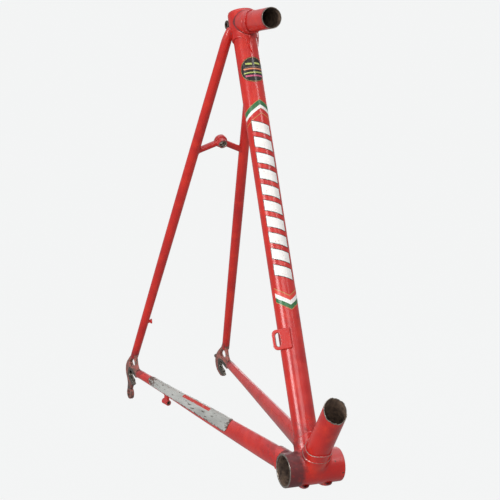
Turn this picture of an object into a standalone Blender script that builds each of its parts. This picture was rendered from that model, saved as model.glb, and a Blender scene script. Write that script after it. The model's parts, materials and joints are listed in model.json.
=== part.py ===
"""Rear section of a lugged steel road bicycle frame, cut off just ahead of its joints.

Run with: blender --background --python part.py

The origin is the centre of the bottom bracket shell.  +X points forward, +Y to the rider's
left and +Z up, so the drive side is at -Y.  Sizes are written in millimetres and turned into
metres where the meshes are made.  Every piece that is brazed, screwed or stuck on the real
frame is an object of its own, and neighbours keep a small gap to each other.
"""

from math import atan2, cos, degrees, exp, pi, radians, sin, sqrt, tan

import bmesh
import bpy
from mathutils import Vector

# ---------------------------------------------------------------- driving dimensions (mm)
MM = 0.001
GAP = 0.3                       # clearance between neighbouring pieces

SEAT_ANGLE = 73.0               # seat tube to the horizontal, in degrees
SEAT_TUBE_R = 14.3
SEAT_TUBE_BORE_R = 13.65
SEAT_TUBE_START = 22.0          # distances along the seat tube, from the shell's centre
SEAT_TUBE_END = 555.6
TOP_TUBE_STATION = 542.0
TOP_TUBE_R = 12.7
TOP_TUBE_BORE_R = 11.8
TOP_TUBE_CUT = 86.3             # cut end, ahead of the seat tube's axis
DOWN_TUBE_ANGLE = 48.7
DOWN_TUBE_R = 14.3
DOWN_TUBE_BORE_R = 13.4
DOWN_TUBE_CUT = 102.0
DOWN_TUBE_SLANT = 5.9           # half the run of the slanting saw cut

SHELL_R = 20.0
SHELL_BORE_R = 17.5
SHELL_HALF_WIDTH = 35.0
SOCKET_WALL = 1.4

AXLE_SPACING = 130.0            # between the dropouts' inner faces
PLATE_T = 5.5
PLATE_Y = (AXLE_SPACING + PLATE_T) / 2.0

LUG_TOP = 556.0
LUG_SIDE_EDGE = 521.0           # lower edge of the seat lug at the sides
LUG_SPEAR = 23.0                # how far its front point reaches below that edge
SLIT_W = 2.5
SLIT_END = 507.0

BINDER_N = -21.0                # binder bolt, behind the seat tube's axis
BINDER_S = 548.0                # and along it
EAR_R = 6.4
EAR_HALF_WIDTH = 8.0
EAR_ROOT_HALF = 5.2
BINDER_SHANK_R = 2.7
BINDER_HEAD_R = 5.6
BINDER_HEAD_H = 4.2

STAY_TOP = (-176.4, 20.2, 481.9)        # two points of a seatstay's axis, left side
STAY_FOOT = (-411.1, 68.3, 81.2)
STAY_WALL = 0.9
CHAIN_FRONT = (-20.0, 19.3, 3.2)        # two points of a chainstay's axis, left side
CHAIN_REAR = (-398.0, 67.9, 60.0)
CHAIN_WALL = 1.0

SLOT_ANGLE = 24.0               # axle slot, falling towards the front
SLOT_SEAT = (-424.5, 55.8)      # centre of the slot's closed end, X and Z
SLOT_R = 5.0
HANGER = (-434.5, 27.0)
HANGER_HOLE_R = 4.6
HANGER_R = 8.2
SCREW_R = 1.3
SCREW_HOLE_R = 1.6
SCREW_HEAD_R = 2.6

TANG_SHOULDER = 2.7             # how far a dropout's full width enters a stay's slotted end

BARREL_AT = (-239.0, 375.0)     # brake bridge barrel, X and Z
BARREL_R = 8.2
BARREL_NECK_R = 6.0
ARM_R = 3.9

STAY_SIDES = 20
CHAIN_START = 4.0               # where the chainstays begin, inside their sockets
FILM_FROM = 128.0               # chainstay film, from and to along the right chainstay
FILM_TO = 345.0
FILM_T = 0.5
FILM_MIDDLE = 45.0              # direction of the film's middle line, from up towards outside
FILM_SPREAD = 175.0             # angle that the film covers
FILM_STEPS = 10
TAB_STATION = 150.0             # front derailleur tab, along the seat tube
TAB_TURN = -38.0                # its face, turned from the front to the right, in degrees
TAB_T = 3.4
TAB_W = 22.0
TAB_H = 24.0
TAB_INNER = -3.5                # its inner edge, across the seat tube
TAB_SLOT_AT = 11.8
TAB_SLOT_R = 3.0
TAB_SLOT_HALF = 5.0

GUIDES = (("right_cable_guide", -11.0, 0.0), ("left_cable_guide", 16.0, 14.0))
GUIDE_R = 5.0
GUIDE_BORE_R = 3.7
GUIDE_BEND_R = 18.4             # from the shell's axis to the guide's
GUIDE_FROM = -64.0              # first end and run round the shell, in degrees
GUIDE_RUN = -62.0
GUIDE_STEPS = 5
GUIDE_SIDES = 16

STOP_X = -315.0                 # cable stop, under the right chainstay
STOP_DROP = 16.0                # below the stay's axis
PEG_Z = 133.0                   # chain peg, up the right seatstay

CUTTER_PHASE = 0.043            # turns a cutter's corners away from those of the piece it cuts
SIDES = {-1: "right", 1: "left"}
Y_AXIS = Vector((0.0, 1.0, 0.0))


# ---------------------------------------------------------------- frames along the tubes
class Axis:
    """A tube's own frame: a start point, a direction and the side where the angle is 0."""

    def __init__(self, start, along, zero):
        self.start = Vector(start)
        self.along = Vector(along).normalized()
        self.zero = (Vector(zero) - self.along * self.along.dot(Vector(zero))).normalized()
        self.side = self.along.cross(self.zero)

    def point(self, station, across=0.0, sideways=0.0):
        return self.start + self.along * station + self.zero * across + self.side * sideways

    def ring(self, station, half_zero, half_side=None, count=32, phase=0.0):
        """One section: station and half widths are numbers or functions of the angle."""
        points = []
        for index in range(count):
            angle = 2.0 * pi * index / count + phase
            at = station(angle) if callable(station) else station
            a = half_zero(angle) if callable(half_zero) else half_zero
            b = a if half_side is None else half_side
            points.append(self.point(at, a * cos(angle), b * sin(angle)))
        return points


UP_SEAT = Vector((-cos(radians(SEAT_ANGLE)), 0.0, sin(radians(SEAT_ANGLE))))
SEAT = Axis((0, 0, 0), UP_SEAT, (1, 0, 0))
TOP = Axis(UP_SEAT * TOP_TUBE_STATION, (1, 0, 0), (0, 0, 1))
DOWN = Axis((0, 0, 0), (cos(radians(DOWN_TUBE_ANGLE)), 0, sin(radians(DOWN_TUBE_ANGLE))), (-1, 0, 0))
SHELL = Axis((0, 0, 0), (0, 1, 0), (1, 0, 0))
SLOT_BACK = Vector((-cos(radians(SLOT_ANGLE)), 0.0, sin(radians(SLOT_ANGLE))))


def mirrored(point, side):
    """A left-side point, on the left (1) or right (-1) side."""
    return Vector((point[0], point[1] * side, point[2]))


def seatstay_axis(side):
    foot = mirrored(STAY_FOOT, side)
    return Axis(foot, mirrored(STAY_TOP, side) - foot, (1, 0, 0))


def chainstay_axis(side):
    front = mirrored(CHAIN_FRONT, side)
    return Axis(front, mirrored(CHAIN_REAR, side) - front, (0, 0, 1))


STAY_LENGTH = (Vector(STAY_TOP) - Vector(STAY_FOOT)).length
CHAIN_LENGTH = (Vector(CHAIN_REAR) - Vector(CHAIN_FRONT)).length
BARREL = Axis((BARREL_AT[0], 0, BARREL_AT[1]), (0.863, 0, -0.505), (0, 1, 0))


# ---------------------------------------------------------------- mesh and modifier helpers
def clear_scene():
    for thing in list(bpy.data.objects):
        bpy.data.objects.remove(thing, do_unlink=True)


def paint(name, colour, metallic, roughness):
    finish = bpy.data.materials.new(name)
    finish.use_nodes = True
    shader = finish.node_tree.nodes["Principled BSDF"]
    shader.inputs["Base Color"].default_value = (*colour, 1.0)
    shader.inputs["Metallic"].default_value = metallic
    shader.inputs["Roughness"].default_value = roughness
    return finish


def add_object(name, mesh_data, finish=None):
    """Make an object; one without a finish is a cutter, which the build leaves out."""
    mesh = bpy.data.meshes.new(name)
    mesh_data.to_mesh(mesh)
    mesh_data.free()
    body = bpy.data.objects.new(name, mesh)
    bpy.context.collection.objects.link(body)
    if finish is None:
        body.hide_render = True
        body.display_type = "WIRE"
    else:
        mesh.materials.append(finish)
        mesh.shade_smooth()
        mesh.set_sharp_from_angle(angle=radians(35))
    return body


def loft(name, rings, finish=None, closed=False):
    """Skin rings of equal length; closed joins the last to the first, else both ends are capped."""
    shape = bmesh.new()
    loops = [[shape.verts.new(Vector(point) * MM) for point in ring] for ring in rings]
    pairs = list(zip(loops, loops[1:]))
    if closed:
        pairs.append((loops[-1], loops[0]))
    for low, high in pairs:
        for index in range(len(low)):
            following = (index + 1) % len(low)
            shape.faces.new((low[index], low[following], high[following], high[index]))
    if not closed:
        for loop in (loops[0], loops[-1]):
            centre = shape.verts.new(sum((vert.co for vert in loop), Vector()) / len(loop))
            for index in range(len(loop)):
                shape.faces.new((loop[index], loop[(index + 1) % len(loop)], centre))
    bmesh.ops.triangulate(shape, faces=shape.faces[:])
    bmesh.ops.recalc_face_normals(shape, faces=shape.faces[:])
    return add_object(name, shape, finish)


def column(name, axis, low, high, half_zero, half_side=None, finish=None, count=32):
    """A solid round or oval bar along an axis; a cutter's corners are turned off the body's."""
    phase = 0.0 if finish else CUTTER_PHASE
    rings = [axis.ring(at, half_zero, half_side, count, phase) for at in (low, high)]
    return loft(name, rings, finish)


def sleeve(name, axis, low, high, outer, inner, finish=None, count=32):
    """A tube along an axis; its two end edges may be functions of the angle."""
    rings = [axis.ring(low, outer, count=count), axis.ring(high, outer, count=count),
             axis.ring(high, inner, count=count), axis.ring(low, inner, count=count)]
    return loft(name, rings, finish, closed=True)


def turned(name, axis, profile, finish=None, count=32):
    """Turn a closed profile of (radius, station) pairs about an axis."""
    rings = [axis.ring(station, radius, count=count) for radius, station in profile]
    return loft(name, rings, finish, closed=True)


def turned_solid(name, axis, profile, finish=None, count=20):
    """Turn an open profile of (radius, station) pairs and cap both its ends."""
    return loft(name, [axis.ring(station, radius, count=count) for radius, station in profile], finish)


def block(name, axis, low, high, across, sideways, finish=None):
    """A rectangular bar along an axis, between (low, high) pairs."""
    rings = []
    for at in (low, high):
        rings.append([axis.point(at, across[i], sideways[j]) for i, j in ((0, 0), (1, 0), (1, 1), (0, 1))])
    return loft(name, rings, finish)


def combine(body, other, operation):
    step = body.modifiers.new(other.name, "BOOLEAN")
    step.operation = operation
    step.object = other
    step.solver = "EXACT"


def cut(body, *cutters):
    for cutter in cutters:
        combine(body, cutter, "DIFFERENCE")


def unite(body, *others):
    for other in others:
        combine(body, other, "UNION")


def arc(centre, radius, start, end, count):
    """Points of a flat arc; angles in degrees, start and end included."""
    points = []
    for index in range(count):
        angle = radians(start + (end - start) * index / (count - 1))
        points.append((centre[0] + radius * cos(angle), centre[1] + radius * sin(angle)))
    return points


def smooth_outline(points, per_span=5):
    """A closed Catmull-Rom curve through flat points."""
    result = []
    total = len(points)
    for index in range(total):
        p0, p1, p2, p3 = (Vector(points[(index + shift) % total]) for shift in (-1, 0, 1, 2))
        for step in range(per_span):
            t = step / per_span
            result.append(0.5 * (2 * p1 + (p2 - p0) * t + (2 * p0 - 5 * p1 + 4 * p2 - p3) * t ** 2
                                 + (3 * p1 - p0 - 3 * p2 + p3) * t ** 3))
    return result


def plate(name, loops, origin, right, up, thickness, finish, edge=0.0):
    """Extrude a flat outline, the first loop, with holes, the others, about its middle plane."""
    normal = Vector(right).cross(Vector(up))
    base = Vector(origin) - normal * (thickness / 2.0)
    shape = bmesh.new()
    edges = []
    for loop in loops:
        verts = [shape.verts.new((base + Vector(right) * p[0] + Vector(up) * p[1]) * MM) for p in loop]
        for index in range(len(verts)):
            edges.append(shape.edges.new((verts[index], verts[(index + 1) % len(verts)])))
    bmesh.ops.triangle_fill(shape, use_beauty=True, edges=edges)
    pushed = bmesh.ops.extrude_face_region(shape, geom=shape.faces[:])
    moved = [item for item in pushed["geom"] if isinstance(item, bmesh.types.BMVert)]
    bmesh.ops.translate(shape, verts=moved, vec=normal * thickness * MM)
    bmesh.ops.recalc_face_normals(shape, faces=shape.faces[:])
    body = add_object(name, shape, finish)
    if edge:
        soften = body.modifiers.new("edge", "BEVEL")
        soften.width = edge * MM
        soften.segments = 2
        soften.limit_method = "ANGLE"
        soften.angle_limit = radians(55)
    return body


def angle_from_front(angle):
    """A ring angle folded to -180..180 degrees."""
    return (degrees(angle) + 180.0) % 360.0 - 180.0


# ---------------------------------------------------------------- main tubes
def make_seat_tube(finish):
    """Seat tube, open at both ends, with the clamp slit at the back of its mouth."""
    tube = sleeve("seat_tube", SEAT, SEAT_TUBE_START, SEAT_TUBE_END, SEAT_TUBE_R, SEAT_TUBE_BORE_R, finish)
    cut(tube, *slit_cutters("seat_tube"))


def slit_cutters(owner):
    """The clamp slit and the drilled hole that ends it."""
    slot = block(owner + "_slit", SEAT, SLIT_END, LUG_TOP + 5, (-30, 0), (-SLIT_W / 2, SLIT_W / 2))
    drill = Axis(SEAT.point(SLIT_END), -SEAT.zero, SEAT.side)
    return slot, column(owner + "_slit_end", drill, 5, 30, 2.6, count=20)


def make_top_tube(finish):
    """Cut stub of the top tube, mitred to the seat tube."""
    tube = sleeve("top_tube_stub", TOP, 0, TOP_TUBE_CUT, TOP_TUBE_R, TOP_TUBE_BORE_R, finish)
    cut(tube, column("top_tube_mitre", SEAT, 500, 590, SEAT_TUBE_R + GAP))


def sawn_end(angle):
    """Rough saw cut of the down tube: a slant with shallow tooth marks."""
    rough = 0.45 * sin(5 * angle + 0.6) + 0.3 * sin(11 * angle)
    return DOWN_TUBE_CUT + DOWN_TUBE_SLANT * cos(angle) + rough


def make_down_tube(finish):
    """Cut stub of the down tube, mitred to the seat tube."""
    tube = sleeve("down_tube_stub", DOWN, SEAT_TUBE_START, sawn_end, DOWN_TUBE_R, DOWN_TUBE_BORE_R, finish,
                  count=36)
    cut(tube, column("down_tube_mitre", SEAT, 5, 70, SEAT_TUBE_R + GAP))


# ---------------------------------------------------------------- bottom bracket
def socket_edge(base, wave):
    """Edge of a socket that reaches further at its front and back than at its sides."""
    return lambda angle: base + wave * cos(2 * angle)


def make_shell(finish):
    """Cast shell: a barrel with a socket for each of the four tubes."""
    shell = column("bottom_bracket_shell", SHELL, -SHELL_HALF_WIDTH, SHELL_HALF_WIDTH, SHELL_R,
                   finish=finish, count=40)
    socket_r = SEAT_TUBE_R + GAP + SOCKET_WALL
    unite(shell,
          column("seat_tube_socket", SEAT, 4, socket_edge(36, 4), socket_r, count=24),
          column("down_tube_socket", DOWN, 4, socket_edge(37, 3), socket_r, count=26))
    for side, word in SIDES.items():
        axis = chainstay_axis(side)
        high, wide = chainstay_section(0.0)
        edge = GAP + SOCKET_WALL
        unite(shell, column(word + "_stay_socket", axis, -12, socket_edge(17, 3), high + edge, wide + edge,
                            count=24))
    bores = [column("seat_tube_bore", SEAT, SEAT_TUBE_START - 0.5, 60, SEAT_TUBE_R + GAP, count=28),
             column("down_tube_bore", DOWN, SEAT_TUBE_START - 0.7, 60, DOWN_TUBE_R + GAP, count=30),
             column("seat_tube_window", SEAT, 15, 30, 6.5, count=14),
             column("down_tube_window", DOWN, 15, 30, 6.5, count=12)]
    for side, word in SIDES.items():
        axis = chainstay_axis(side)
        high, wide = chainstay_section(0.0)
        bores.append(column(word + "_stay_bore", axis, 3.4, 40, high + GAP, wide + GAP, count=22))
        bores.append(column(word + "_stay_window", axis, -8, 8, 5.0, count=10))
    cut(shell, *bores, column("shell_bore", SHELL, -40, 40, SHELL_BORE_R, count=40))


def guide_ring(y, slant, radius, step):
    """One section of a cable guide, which bends round the shell's underside."""
    angle = radians(GUIDE_FROM + GUIDE_RUN * step / GUIDE_STEPS)
    outward = Vector((cos(angle), 0.0, sin(angle)))
    centre = outward * GUIDE_BEND_R + Y_AXIS * (y + tan(radians(slant)) * SHELL_R * cos(angle))
    turns = [2.0 * pi * i / GUIDE_SIDES for i in range(GUIDE_SIDES)]
    return [centre + (outward * cos(turn) + Y_AXIS * sin(turn)) * radius for turn in turns]


def make_cable_guides(finish):
    """Two half-round tunnels brazed under the shell, which lead the gear cables round it."""
    for name, y, slant in GUIDES:
        rings = [guide_ring(y, slant, GUIDE_R, step) for step in range(GUIDE_STEPS + 1)]
        rings += [guide_ring(y, slant, GUIDE_BORE_R, step) for step in range(GUIDE_STEPS, -1, -1)]
        guide = loft(name, rings, finish, closed=True)
        cut(guide, column(name + "_seat", SHELL, -30, 45, SHELL_R + GAP, count=48))


# ---------------------------------------------------------------- seat cluster
def lug_lower_edge(angle):
    """A short edge at the sides that runs down to one long point at the front."""
    away = abs(angle_from_front(angle))
    back = 6.0 * exp(-(180.0 - away) / 30.0)
    return LUG_SIDE_EDGE - LUG_SPEAR * exp(-away / 15.0) - back


BINDER = Axis(SEAT.point(BINDER_S, BINDER_N), (0, 1, 0), UP_SEAT)


def make_seat_lug(finish):
    """Seat lug: collar, top tube socket and the two ears of the seat post clamp."""
    collar_r = SEAT_TUBE_R + GAP + SOCKET_WALL
    lug = column("seat_lug", SEAT, lug_lower_edge, LUG_TOP, collar_r, finish=finish, count=44)
    unite(lug,
          column("top_tube_socket", TOP, 2, socket_edge(35, -4.5), TOP_TUBE_R + GAP + 1.2, count=28),
          column("ear_barrel", BINDER, -EAR_HALF_WIDTH, EAR_HALF_WIDTH, EAR_R, count=20),
          block("ear_root", SEAT, BINDER_S - EAR_ROOT_HALF, BINDER_S + EAR_ROOT_HALF, (BINDER_N - 1, -10),
                (0.4 - EAR_HALF_WIDTH, EAR_HALF_WIDTH - 0.4)))
    cut(lug,
        column("collar_bore", SEAT, 480, 600, SEAT_TUBE_R + GAP),
        column("top_tube_bore", TOP, 5, 60, TOP_TUBE_R + GAP),
        column("binder_bore", BINDER, -20, 20, BINDER_SHANK_R + GAP, count=16),
        *slit_cutters("seat_lug"))


def make_binder(finish):
    """Seat post clamp: a socket-head bolt from the right and a round nut on the left."""
    under = -EAR_HALF_WIDTH - GAP
    top = under - BINDER_HEAD_H
    bolt = turned_solid("seat_binder_bolt", BINDER,
                        [(BINDER_HEAD_R - 0.8, top), (BINDER_HEAD_R, top + 0.8), (BINDER_HEAD_R, under - 0.4),
                         (BINDER_HEAD_R - 0.4, under), (BINDER_SHANK_R, under),
                         (BINDER_SHANK_R, EAR_HALF_WIDTH + 3.4)], finish, count=28)
    cut(bolt, column("binder_hex", BINDER, top - 1, top + 2.6, 2.9, count=6))
    low = EAR_HALF_WIDTH + GAP
    turned("seat_binder_nut", BINDER,
           [(BINDER_SHANK_R + GAP, low), (5.4, low), (5.4, low + 3.0), (4.6, low + 3.8),
            (BINDER_SHANK_R + GAP, low + 3.8)], finish)


# ---------------------------------------------------------------- stays
def seatstay_radius(station):
    """Seatstay radius, slim at the foot, full at mid height and a little slimmer at the top."""
    along = station / STAY_LENGTH
    if along < 0.65:
        return 5.2 + 1.3 * sin(pi / 2 * min(1.0, along / 0.65))
    return 6.5 - 0.3 * (along - 0.65) / 0.35


def stay_mitre_cutters(owner):
    """Clearance for the seat lug's collar and its top tube socket."""
    return (column(owner + "_collar", SEAT, 470, 600, SEAT_TUBE_R + 2 * GAP + SOCKET_WALL, count=44),
            column(owner + "_socket", TOP, -2, 50, TOP_TUBE_R + 2 * GAP + 1.2, count=28))


CAP_START = STAY_LENGTH + 14.0
CAP_SLANT = 8.0
CAP_LENGTH = 22.0
CAP_STEPS = 5
CAP_SIDES = 18


def cap_joint(side, lift=0.0):
    """The slanting joint between stay and cap, lower on the outer side."""
    return lambda angle: CAP_START + lift - CAP_SLANT * side * sin(angle)


def cap_ring(axis, side, fraction):
    """A cap's section, from the slanting joint at 0 to its flat, narrow top at 1."""
    joint = cap_joint(side, GAP)
    top = CAP_START + CAP_LENGTH
    radius = seatstay_radius(STAY_LENGTH) * sqrt(1.0 - 0.75 * fraction ** 2)
    return axis.ring(lambda angle: joint(angle) * (1.0 - fraction) + top * fraction, radius, count=CAP_SIDES)


def make_seatstay(side, finish):
    """One seatstay: tapered tube, solid and slotted for the dropout's tang at its foot."""
    word = SIDES[side]
    axis = seatstay_axis(side)
    top_r = seatstay_radius(STAY_LENGTH)
    stations = [STAY_LENGTH * step / 5 for step in range(1, 6)]
    profile = [(3.6, -2.5), (4.7, -1.2), (5.2, 1.2)] + [(seatstay_radius(at), at) for at in stations]
    rings = [axis.ring(at, radius, count=CAP_SIDES) for radius, at in profile]
    rings.append(axis.ring(cap_joint(side), top_r, count=CAP_SIDES))
    core = [axis.ring(at, seatstay_radius(at) - STAY_WALL, count=CAP_SIDES) for at in [30.0] + stations[1:]]
    core.append(axis.ring(cap_joint(side, 3.0), top_r - STAY_WALL, count=CAP_SIDES))
    cut(loft(word + "_seatstay", rings, finish), loft(word + "_seatstay_core", core),
        *tang_cutters(word + "_stay_tang", side, stay_tang_frame()), *stay_mitre_cutters(word + "_seatstay"))


def make_seatstay_cap(side, finish):
    """Solid cap that closes a seatstay's slanting top, beside the lug."""
    word = SIDES[side]
    axis = seatstay_axis(side)
    rings = [cap_ring(axis, side, step / CAP_STEPS) for step in range(CAP_STEPS + 1)]
    cut(loft(word + "_seatstay_cap", rings, finish), *stay_mitre_cutters(word + "_cap"))


CHAIN_SECTIONS = ((0.0, 13.3, 8.5), (0.12, 13.5, 8.4), (0.27, 12.6, 7.0), (0.42, 11.4, 6.2),
                  (0.56, 10.0, 6.0), (0.70, 8.0, 5.9), (0.83, 6.4, 5.8), (0.93, 5.8, 5.7), (1.0, 5.6, 5.4))


def chainstay_section(fraction):
    """Half height and half width of a chainstay: tall oval in front, round at the rear."""
    for (f0, high0, wide0), (f1, high1, wide1) in zip(CHAIN_SECTIONS, CHAIN_SECTIONS[1:]):
        if fraction <= f1:
            mix = (fraction - f0) / (f1 - f0)
            return high0 + (high1 - high0) * mix, wide0 + (wide1 - wide0) * mix
    return CHAIN_SECTIONS[-1][1:]


def chainstay_ring(axis, station, shrink=0.0):
    """One section of a chainstay, made smaller all round by shrink."""
    high, wide = chainstay_section(station / CHAIN_LENGTH)
    return axis.ring(station, high - shrink, wide - shrink, STAY_SIDES)


def make_chainstay(side, finish):
    """One chainstay: oval tube, solid and pocketed for the dropout's tang at its rear end."""
    word = SIDES[side]
    axis = chainstay_axis(side)
    middle = [CHAIN_LENGTH * section[0] for section in CHAIN_SECTIONS[1:-1]]
    rings = [chainstay_ring(axis, station) for station in [CHAIN_START] + middle + [CHAIN_LENGTH - 4.0]]
    rings.append(chainstay_ring(axis, CHAIN_LENGTH - 1.0, 0.6))
    rings.append(chainstay_ring(axis, CHAIN_LENGTH + 0.8, 1.9))
    stay = loft(word + "_chainstay", rings, finish)
    core = [chainstay_ring(axis, station, CHAIN_WALL) for station in
            [CHAIN_START - 3.0] + middle[:-1] + [CHAIN_LENGTH - 36.0]]
    cut(stay, loft(word + "_chainstay_core", core),
        *tang_cutters(word + "_chain_tang", side, chain_tang_frame()))


# ---------------------------------------------------------------- dropouts
def stay_tang_frame():
    """Foot, direction, half width and length of the tang that enters a seatstay (X and Z)."""
    run = Vector((STAY_TOP[0] - STAY_FOOT[0], STAY_TOP[2] - STAY_FOOT[2])).normalized()
    return Vector((STAY_FOOT[0], STAY_FOOT[2])), run, 3.3, 8.0


def chain_tang_frame():
    """The same for the tang that enters a chainstay."""
    run = Vector((CHAIN_FRONT[0] - CHAIN_REAR[0], CHAIN_FRONT[2] - CHAIN_REAR[2])).normalized()
    return Vector((CHAIN_REAR[0], CHAIN_REAR[2])), run, 3.9, 10.0


def tang_cutters(name, side, frame):
    """The pocket that a tang sits in, and the slot across the stay's end that leads to it."""
    foot, run, half, length = frame
    axis = Axis((foot.x, side * PLATE_Y, foot.y), (run.x, 0, run.y), (0, side, 0))
    flat = PLATE_T / 2 + GAP
    return (block(name + "_pocket", axis, -8, length + GAP, (-flat, flat), (-half - GAP, half + GAP)),
            block(name + "_slot", axis, -9, TANG_SHOULDER + GAP, (-flat - 0.1, flat + 0.1), (-12, 12)))


def tang_points(frame, first, last):
    """Outline of a tang's free end, from one side to the other."""
    foot, run, half, length = frame
    across = Vector((-run.y, run.x))
    return [foot + run * along + across * half * sign for along, sign in
            ((first, 1), (length, 1), (length, -1), (last, -1))]


def make_dropout(side, finish):
    """Forged dropout: slotted plate, window, slim bow joining its two tangs, and on the right
    side the derailleur hanger."""
    back = Vector((SLOT_BACK.x, SLOT_BACK.z))
    down = Vector((-sin(radians(SLOT_ANGLE)), -cos(radians(SLOT_ANGLE))))
    seat = Vector(SLOT_SEAT)
    tail = degrees(atan2(down.y, down.x))
    outline = tang_points(stay_tang_frame(), -1.5, TANG_SHOULDER)
    outline += [Vector(p) for p in ((-404.6, 76.0), (-402.6, 71.6), (-398.6, 67.4))]
    outline += [point for point in tang_points(chain_tang_frame(), TANG_SHOULDER, 0.5)]
    outline += [seat - back * 19.0 - down * SLOT_R]
    outline += [Vector(p) for p in arc(SLOT_SEAT, SLOT_R, tail - 180, tail, 10)]
    outline += [seat - back * 8.0 + down * SLOT_R]
    outline += [seat - back * 8.4 + down * (SLOT_R + 4.0) + Vector((0.4, 0))]
    outline += [Vector((-416.0, 41.6)), Vector((-419.5, 40.0))]
    if side < 0:
        outline += [Vector((-425.0, 39.0)), Vector((-427.4, 36.0))]
        outline += [Vector(p) for p in arc(HANGER, HANGER_R, 50, -230, 16)]
        outline += [Vector((-437.0, 40.0))]
    else:
        outline += [Vector((-425.5, 40.0)), Vector((-431.0, 42.4))]
    outline += [Vector(p) for p in ((-439.5, 47.0), (-443.6, 53.0), (-445.0, 59.5), (-443.4, 66.0),
                                    (-437.6, 72.0), (-428.0, 78.4), (-420.0, 83.4))]
    window = smooth_outline([(-427.0, 72.2), (-420.6, 77.2), (-412.6, 78.6), (-407.4, 76.0),
                             (-405.6, 71.4), (-409.0, 67.4), (-416.4, 66.8), (-423.8, 68.2)], 2)
    holes = [window]
    if side < 0:
        holes.append([Vector(p) for p in arc(HANGER, HANGER_HOLE_R, 0, 340, 18)])
    dropout = plate(SIDES[side] + "_dropout", [outline] + holes, (0, side * PLATE_Y, 0), (1, 0, 0), (0, 0, 1),
                    PLATE_T, finish, edge=0.7)
    cut(dropout, column(SIDES[side] + "_screw_hole", screw_axis(side), 2, 40, SCREW_HOLE_R, count=16))


def screw_axis(side):
    """Axis of the axle adjuster: from the slot's closed end out through the back edge."""
    return Axis((SLOT_SEAT[0], side * PLATE_Y, SLOT_SEAT[1]), SLOT_BACK, (0, 1, 0))


def make_adjuster(finish):
    """Axle adjuster screw of the left dropout, screwed right in."""
    axis = screw_axis(1)
    turned_solid("left_adjuster_screw", axis,
                 [(0.8, 1.5), (SCREW_R, 2.2), (SCREW_R, 22.4),
                  (SCREW_HEAD_R - 0.3, 22.7), (SCREW_HEAD_R, 23.1),
                  (SCREW_HEAD_R, 25.2), (SCREW_HEAD_R - 0.6, 25.9)], finish, count=20)


# ---------------------------------------------------------------- brake bridge
def make_bridge(finish):
    """Brake bridge: a stepped barrel for the brake bolt and two arms that drop to the stays."""
    turned("brake_bridge_barrel", BARREL,
           [(BARREL_R - 0.8, -4.2), (BARREL_R, -3.4), (BARREL_R, -0.5), (BARREL_R - 0.8, 1.6),
            (BARREL_NECK_R + 0.3, 4.0), (BARREL_NECK_R, 5.0), (BARREL_NECK_R, 7.6), (4.1, 7.6), (4.1, 1.0),
            (3.1, 1.0), (3.1, -4.2)], finish, count=24)
    for side, word in SIDES.items():
        stay = seatstay_axis(side)
        joint = stay.point(STAY_LENGTH * 0.7015)
        arm_axis = Axis(BARREL.point(-0.5), joint - BARREL.point(-0.5), (1, 0, 0))
        length = (joint - BARREL.point(-0.5)).length
        arm = column("brake_bridge_" + word + "_arm", arm_axis, 3, length, ARM_R, finish=finish, count=20)
        cut(arm,
            column(word + "_arm_stay", stay, STAY_LENGTH * 0.6, STAY_LENGTH * 0.8,
                   seatstay_radius(STAY_LENGTH * 0.7) + GAP, count=24),
            turned_solid(word + "_arm_barrel", BARREL,
                         [(BARREL_R + GAP, -8), (BARREL_R + GAP, -0.5 + GAP),
                          (BARREL_R - 0.8 + GAP, 1.6 + GAP), (BARREL_NECK_R + 0.6, 4.0 + GAP),
                          (BARREL_NECK_R + 0.6, 12)], count=32))


# ---------------------------------------------------------------- small brazed-on pieces
def make_derailleur_tab(finish):
    """Slotted tab for the front derailleur, brazed tangent to the seat tube's right side."""
    turn = radians(TAB_TURN)
    face = SEAT.zero * cos(turn) + SEAT.side * sin(turn)
    out = face.cross(UP_SEAT)
    outer, top = TAB_INNER + TAB_W, TAB_H / 2
    corner, small = 5.5, 1.5
    outline = (arc((outer - corner, top - corner), corner, 90, 0, 6)
               + arc((outer - corner, corner - top), corner, 0, -90, 6)
               + arc((TAB_INNER + small, small - top), small, -90, -180, 3)
               + arc((TAB_INNER + small, top - small), small, 180, 90, 3))
    slot = (arc((TAB_SLOT_AT, TAB_SLOT_HALF), TAB_SLOT_R, 180, 0, 9)
            + arc((TAB_SLOT_AT, -TAB_SLOT_HALF), TAB_SLOT_R, 0, -180, 9))
    origin = SEAT.point(TAB_STATION) + face * (12.8 + TAB_T / 2)
    tab = plate("front_derailleur_tab", [outline, slot], origin, out, UP_SEAT, TAB_T, finish, edge=0.5)
    cut(tab, column("derailleur_tab_bed", SEAT, TAB_STATION - 30, TAB_STATION + 30,
                    SEAT_TUBE_R + GAP, count=36))


def make_cable_stop(finish):
    """Housing stop under the right chainstay: a small barrel on a foot."""
    stay = chainstay_axis(-1)
    station = CHAIN_LENGTH * (STOP_X - CHAIN_FRONT[0]) / (CHAIN_REAR[0] - CHAIN_FRONT[0])
    high, wide = chainstay_section(station / CHAIN_LENGTH)
    axis = Axis(stay.point(station, -STOP_DROP), stay.along, (0, 0, 1))
    stop = turned("rear_derailleur_cable_stop", axis,
                  [(3.2, -6.0), (3.8, -5.4), (3.8, 5.0), (4.1, 5.4), (4.1, 6.4), (2.6, 6.4), (2.6, -3.0),
                   (1.5, -3.0), (1.5, -6.0)], finish, count=24)
    unite(stop, block("cable_stop_foot", axis, -4.5, 4.5, (3.3, STOP_DROP - high + 2.5), (-1.7, 1.7)))
    cut(stop, column("cable_stop_bed", stay, station - 20, station + 20, high + GAP, wide + GAP, count=28))


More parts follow.
